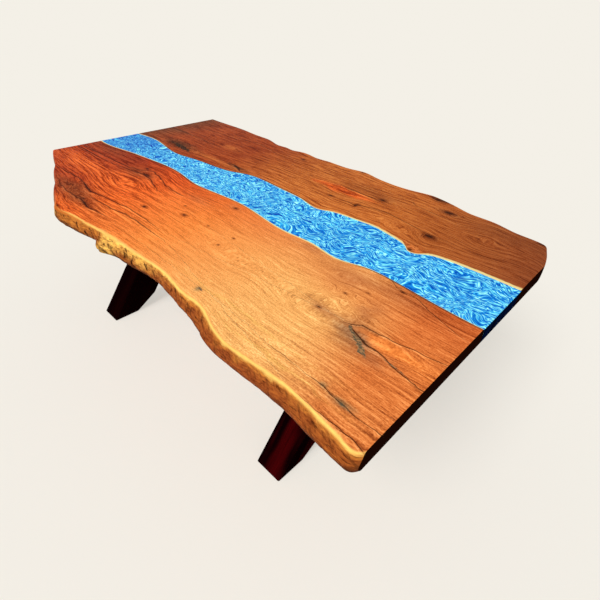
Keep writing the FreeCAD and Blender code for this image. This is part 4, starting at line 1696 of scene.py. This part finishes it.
def near_figure() -> Figure:
    """The near slab: red at the left end, golden in the middle, cracked at the right end.

    Returns:
        All of its figure.
    """
    heartwood = Heartwood(
        tones=(
            (-1050, Tone.GARNET), (-620, Tone.GARNET), (-330, Tone.EMBER), (60, Tone.AMBER),
            (560, Tone.HONEY), (720, Tone.HONEY), (920, Tone.COPPER), (1050, Tone.COPPER),
        ),
        by_bank=(0.88, 0.72, 0.7),
        by_edge=(1.0, 1.05, 1.1),
        contrast=(
            (-700, 1.5), (-400, 1.25), (-100, 0.5), (250, 0.26), (600, 0.34), (850, 0.5),
            (1050, 0.75),
        ),
    )
    swells = (
        Swell(-430, -300, 150, 90, 44), Swell(-450, -180, 90, 30, 14),
        Swell(690, -330, 150, 62, 62), Swell(-20, -290, 34, 22, 9), Swell(-180, -362, 34, 22, 9),
        Swell(240, -325, 60, 32, 10), Swell(60, -110, 34, 18, 12), Swell(-400, -505, 70, 24, 18),
        Swell(655, -165, 50, 26, 22), Swell(700, -225, 34, 22, 16), Swell(900, -320, 90, 34, 18),
        Swell(340, -335, 130, 66, 30), Burr(700, -245, 80, 44, 22), Burr(800, -275, 36, 30, 16),
        Burr(-430, -190, 80, 26, 14), Burr(-560, -480, 120, 44, 18), Burr(-380, -505, 70, 26, 12),
        Burr(240, -300, 60, 40, 12),
    )
    knots = (
        Spot(-20, -290, 14, 8), Spot(-180, -362, 14, 9), Spot(240, -330, 5, 4),
        Spot(60, -112, 11, 7), Spot(-400, -500, 20, 5), Spot(-350, -516, 26, 6),
        Spot(240, -266, 6, 4), Spot(108, -275, 5, 3), Spot(-85, -243, 6, 4),
        Spot(-455, -192, 30, 7), Spot(812, -102, 7, 4), Spot(700, -228, 7, 4),
        Spot(745, -180, 6, 3), Spot(690, -330, 8, 4), Spot(-395, -598, 12, 5),
        Spot(-530, -152, 16, 7),
    )
    checks = (
        Check((
            (-1060, -224, 2.0), (-850, -219, 2.0), (-700, -212, 2.0), (-600, -203, 2.2),
            (-540, -185, 2.0), (-480, -150, 3.4), (-420, -158, 3.0), (-340, -182, 2.4),
            (-300, -195, 2.0), (-200, -200, 2.2), (-150, -198, 0.0), (740, -70, 0.0),
            (765, -78, 1.1), (785, -95, 1.0), (850, -100, 0.8), (900, -118, 0.9),
            (1010, -158, 0.7), (1040, -165, 0.0),
        )),
        Check((
            (-1060, -250, 1.6), (-850, -246, 2.0), (-700, -236, 1.6), (-600, -224, 2.0),
            (-530, -208, 2.4), (-470, -200, 4.4), (-420, -204, 3.6), (-360, -226, 2.4),
            (-290, -245, 1.0), (-240, -250, 0.0), (780, -330, 0.0), (800, -322, 1.6),
            (822, -303, 1.6), (870, -303, 1.2), (950, -292, 1.2), (1060, -270, 0.7),
        )),
        Check((
            (-900, -450, 1.0), (-720, -432, 1.8), (-600, -424, 2.0), (-540, -434, 3.0),
            (-480, -446, 4.2), (-440, -450, 4.2), (-400, -440, 2.6), (-330, -428, 2.0),
            (-200, -412, 1.8), (-60, -412, 1.2), (60, -414, 0.0), (790, -320, 0.0),
            (815, -338, 2.4), (850, -352, 3.4), (890, -354, 2.6), (930, -362, 1.8),
            (990, -378, 1.4), (1060, -382, 0.8),
        )),
        Check((
            (-760, -470, 0.0), (-560, -516, 1.4), (-480, -516, 2.0), (-400, -512, 2.2),
            (-360, -512, 3.4), (-310, -522, 3.2), (-260, -512, 2.0), (-200, -508, 0.8),
            (-150, -506, 0.0), (560, -514, 0.0), (700, -530, 0.0), (760, -528, 0.4),
            (830, -532, 0.3), (870, -531, 0.9), (900, -534, 1.2), (925, -535, 0.6),
            (945, -538, 1.6), (965, -542, 1.2), (1000, -541, 0.5), (1060, -543, 0.9),
        )),
        Check((
            (-420, -478, 0.0), (-330, -468, 2.2), (-240, -460, 2.4), (-180, -448, 2.6),
            (-100, -444, 1.8), (20, -446, 1.2), (140, -450, 0.0), (840, -586, 0.0),
            (890, -589, 0.6), (945, -592, 1.0), (1010, -590, 1.1), (1060, -597, 1.6),
        )),
    )
    patches = (
        Patch(-430, -310, 175, 78, Tone.EMBER, 0.85, 1.6),
        Patch(-760, -335, 280, 62, Tone.EMBER, 0.75),
        Patch(-520, -490, 190, 50, Tone.UMBER, 0.75, 1.4),
        Patch(-370, -512, 150, 32, Tone.UMBER, 0.55), Patch(-900, -150, 260, 60, Tone.UMBER, 0.5),
        Patch(-520, -205, 90, 46, Tone.UMBER, 0.6),
        Patch(730, -200, 200, 70, Tone.COPPER, 0.5, 1.4),
        # The honey patch by the near edge at x 640 is partly the timber's own colour and partly a
        # painted sheen.
        Patch(770, -130, 180, 30, Tone.CHESTNUT, 0.45), Patch(640, -540, 240, 46, Tone.HONEY, 0.6),
        Patch(560, -500, 240, 5, Tone.SAND, 0.5), Patch(720, -556, 200, 4, Tone.SAND, 0.5),
        Patch(660, -170, 60, 40, Tone.CHESTNUT, 0.5), Patch(705, -330, 60, 22, Tone.CHESTNUT, 0.7),
        Patch(800, -260, 34, 62, Tone.CHESTNUT, 0.6),
        Patch(830, -350, 72, 42, Tone.DRIFTWOOD, 0.85, 1.4),
        Patch(900, -392, 52, 26, Tone.CHESTNUT, 0.75),
        Patch(905, -326, 100, 18, Tone.AMBER, 0.85, 2.2),
        Patch(1010, -325, 80, 38, Tone.AMBER, 0.35, 1.6),
        Patch(455, -122, 60, 14, Tone.CHESTNUT, 0.6), Patch(910, -100, 190, 54, Tone.RUST, 0.35),
        Patch(60, -112, 40, 20, Tone.CHESTNUT, 0.5), Patch(-100, -175, 70, 24, Tone.CHESTNUT, 0.4),
        Patch(405, -518, 15, 9, Tone.MOSS), Patch(945, -535, 30, 8, Tone.MOSS),
        Patch(880, -530, 12, 7, Tone.MOSS, 0.7),
    )
    # The light HONEY and GOLD bands on the arris are painted highlight, and the darkening to PEAT
    # at the foot is painted shade, over the edge's own ochre and bark browns.
    wane = Wane(
        bands=(
            (4, Tone.HONEY), (7, Tone.GOLD), (10, Tone.GOLD), (16, Tone.OCHRE), (28, Tone.BARK),
            (42, Tone.BARK), (58, Tone.PEAT),
        ),
        reach=(
            (-1060, -14), (-430, -13), (-310, -6), (-200, 0), (60, 4), (185, 3), (400, 0),
            (1030, -1),
        ),
        patches=(
            Patch(-450, 34, 120, 60, Tone.BARK, 0.5), Patch(-425, 28, 34, 22, Tone.GOLD, 0.65, 1.4),
            Patch(-45, 34, 46, 34, Tone.SAND, 0.85, 1.5), Patch(-250, 26, 130, 24, Tone.OCHRE, 0.6),
            Patch(-120, 44, 30, 20, Tone.UMBER, 0.5), Patch(110, 24, 110, 14, Tone.SAND, 0.6),
            Patch(640, 44, 220, 26, Tone.UMBER, 0.8), Patch(330, 46, 120, 24, Tone.UMBER, 0.5),
            Patch(900, 46, 150, 18, Tone.UMBER, 0.45),
        ),
    )
    return Figure(
        heartwood, wane, swells, knots, checks, patches,
        sapwood=(
            (-1060, 5), (-700, 4), (-500, 2), (-300, 2), (100, 4), (300, 6), (560, 7), (640, 3),
            (760, 0), (1060, 2),
        ),
        rugged=(
            (-1060, 0.0), (-500, 0.1), (-420, 0.9), (100, 1.0), (330, 0.8), (480, 0.45),
            (800, 0.35), (1060, 0.45),
        ),
        arris_highlight=(
            (-1060, 0.0), (-480, 0.0), (-400, 0.6), (-330, 0.85), (-200, 0.95), (100, 1.0),
            (1020, 1.0), (1060, 0.5),
        ),
        seed=21,
    )


def far_figure() -> Figure:
    """The far slab: darker and quieter, with a red patch and knots along the river.

    Returns:
        All of its figure.
    """
    heartwood = Heartwood(
        tones=(
            (-1050, Tone.MAHOGANY), (-850, Tone.RUST), (-400, Tone.RUST), (0, Tone.TAN),
            (500, Tone.TAN), (1050, Tone.UMBER),
        ),
        by_bank=(1.15, 1.2, 1.25),
        by_edge=(1.0, 1.0, 1.0),
        contrast=((-400, 1.15), (-150, 1.05), (150, 1.0), (750, 0.8)),
    )
    swells = (
        Swell(220, 345, 130, 40, 26), Swell(640, 488, 50, 30, 24), Swell(690, 258, 40, 24, 18),
        Swell(350, 262, 40, 24, 16), Swell(-730, 150, 130, 40, 30), Swell(-280, 168, 60, 26, 18),
        Swell(560, 230, 160, 60, 24), Swell(850, 380, 90, 90, 50), Swell(-560, 330, 90, 40, 26),
        Swell(560, 580, 60, 28, 16), Swell(695, 128, 40, 30, 18), Burr(690, 150, 50, 34, 16),
        Burr(-740, 160, 130, 44, 20), Burr(640, 480, 60, 34, 14), Burr(560, 250, 120, 40, 12),
    )
    knots = (
        Spot(350, 268, 8, 16), Spot(640, 490, 28, 12), Spot(688, 258, 20, 11),
        Spot(395, 390, 14, 9), Spot(-162, 494, 14, 8), Spot(-285, 172, 44, 7),
        Spot(690, 126, 12, 9), Spot(560, 584, 26, 6), Spot(545, 570, 18, 4),
        Spot(220, 262, 14, 7), Spot(990, 508, 16, 6), Spot(145, 580, 10, 6),
    )
    checks = (
        Check((
            (-1060, 300, 1.6), (-850, 302, 2.0), (-640, 288, 1.4), (-560, 285, 0.0),
            (90, 366, 0.0), (140, 376, 1.4), (260, 380, 2.0), (350, 378, 2.4), (380, 380, 0.0),
            (600, 420, 0.0), (1060, 380, 0.0),
        )),
        Check((
            (-1060, 105, 1.8), (-960, 118, 1.8), (-860, 112, 1.0), (-700, 110, 0.0),
            (-380, 178, 0.0), (-320, 184, 3.0), (-280, 172, 3.4), (-240, 152, 2.6),
            (-200, 160, 0.0), (250, 262, 0.0), (345, 264, 1.8), (360, 274, 2.0),
            (400, 292, 1.6), (460, 304, 1.4), (560, 292, 1.2), (680, 272, 1.0), (760, 268, 0.0),
        )),
        Check((
            (-1060, 420, 1.2), (-850, 430, 1.4), (-600, 470, 1.2), (-500, 490, 1.4),
            (-300, 450, 1.2), (-100, 450, 0.0), (480, 480, 0.0), (500, 458, 1.4),
            (520, 448, 1.2), (620, 436, 1.0), (700, 434, 0.0),
        )),
    )
    patches = (
        Patch(215, 345, 150, 30, Tone.EMBER, 0.85, 3.0), Patch(-780, 325, 270, 16, Tone.RUST, 0.75),
        Patch(-990, 285, 130, 30, Tone.MAHOGANY, 0.5), Patch(-520, 330, 70, 22, Tone.TAN, 0.4),
        Patch(-750, 160, 140, 44, Tone.PEAT, 0.8, 1.6), Patch(-450, 150, 180, 22, Tone.TAN, 0.5),
        Patch(-280, 168, 60, 22, Tone.MAHOGANY, 0.6), Patch(640, 490, 46, 22, Tone.MAHOGANY, 0.6),
        Patch(688, 258, 30, 18, Tone.MAHOGANY, 0.6), Patch(390, 395, 40, 26, Tone.MAHOGANY, 0.5),
        Patch(690, 135, 34, 26, Tone.COPPER, 0.9, 1.6), Patch(560, 578, 50, 16, Tone.PEAT, 0.75),
        Patch(900, 480, 190, 60, Tone.MAHOGANY, 0.4), Patch(320, 430, 160, 40, Tone.MAHOGANY, 0.35),
    )
    # The SAND band on the arris is painted highlight, and the darkening to PEAT at the foot is
    # painted shade, over the edge's own ochre and bark browns.
    wane = Wane(
        bands=(
            (6, Tone.SAND), (14, Tone.OCHRE), (26, Tone.OCHRE), (42, Tone.BARK), (58, Tone.PEAT),
        ),
        reach=((-1060, -3), (0, 2), (1060, 0)),
    )
    return Figure(
        heartwood, wane, swells, knots, checks, patches,
        sapwood=(
            (-1060, 5), (-900, 4), (-700, 1), (-300, 0), (0, 2), (220, 4), (330, 7), (450, 10),
            (640, 11), (660, 4), (725, 5), (745, 13), (1060, 14),
        ),
        rugged=((-1060, 0.8), (-200, 0.6), (300, 0.7), (560, 1.0), (700, 0.6), (1060, 0.6)),
        arris_highlight=((-1060, 0.2), (-500, 0.5), (450, 0.6), (700, 0.2), (1060, 0.1)),
        seed=57,
    )


def main() -> None:
    """Build and dress the table in order, and light it."""
    logging.basicConfig(level=logging.INFO, format="%(message)s")
    TableTop(near_figure(), far_figure()).build()
    LegFrames().dress()
    Hardware().dress()
    Studio().build()


if __name__ == "__main__":
    main()
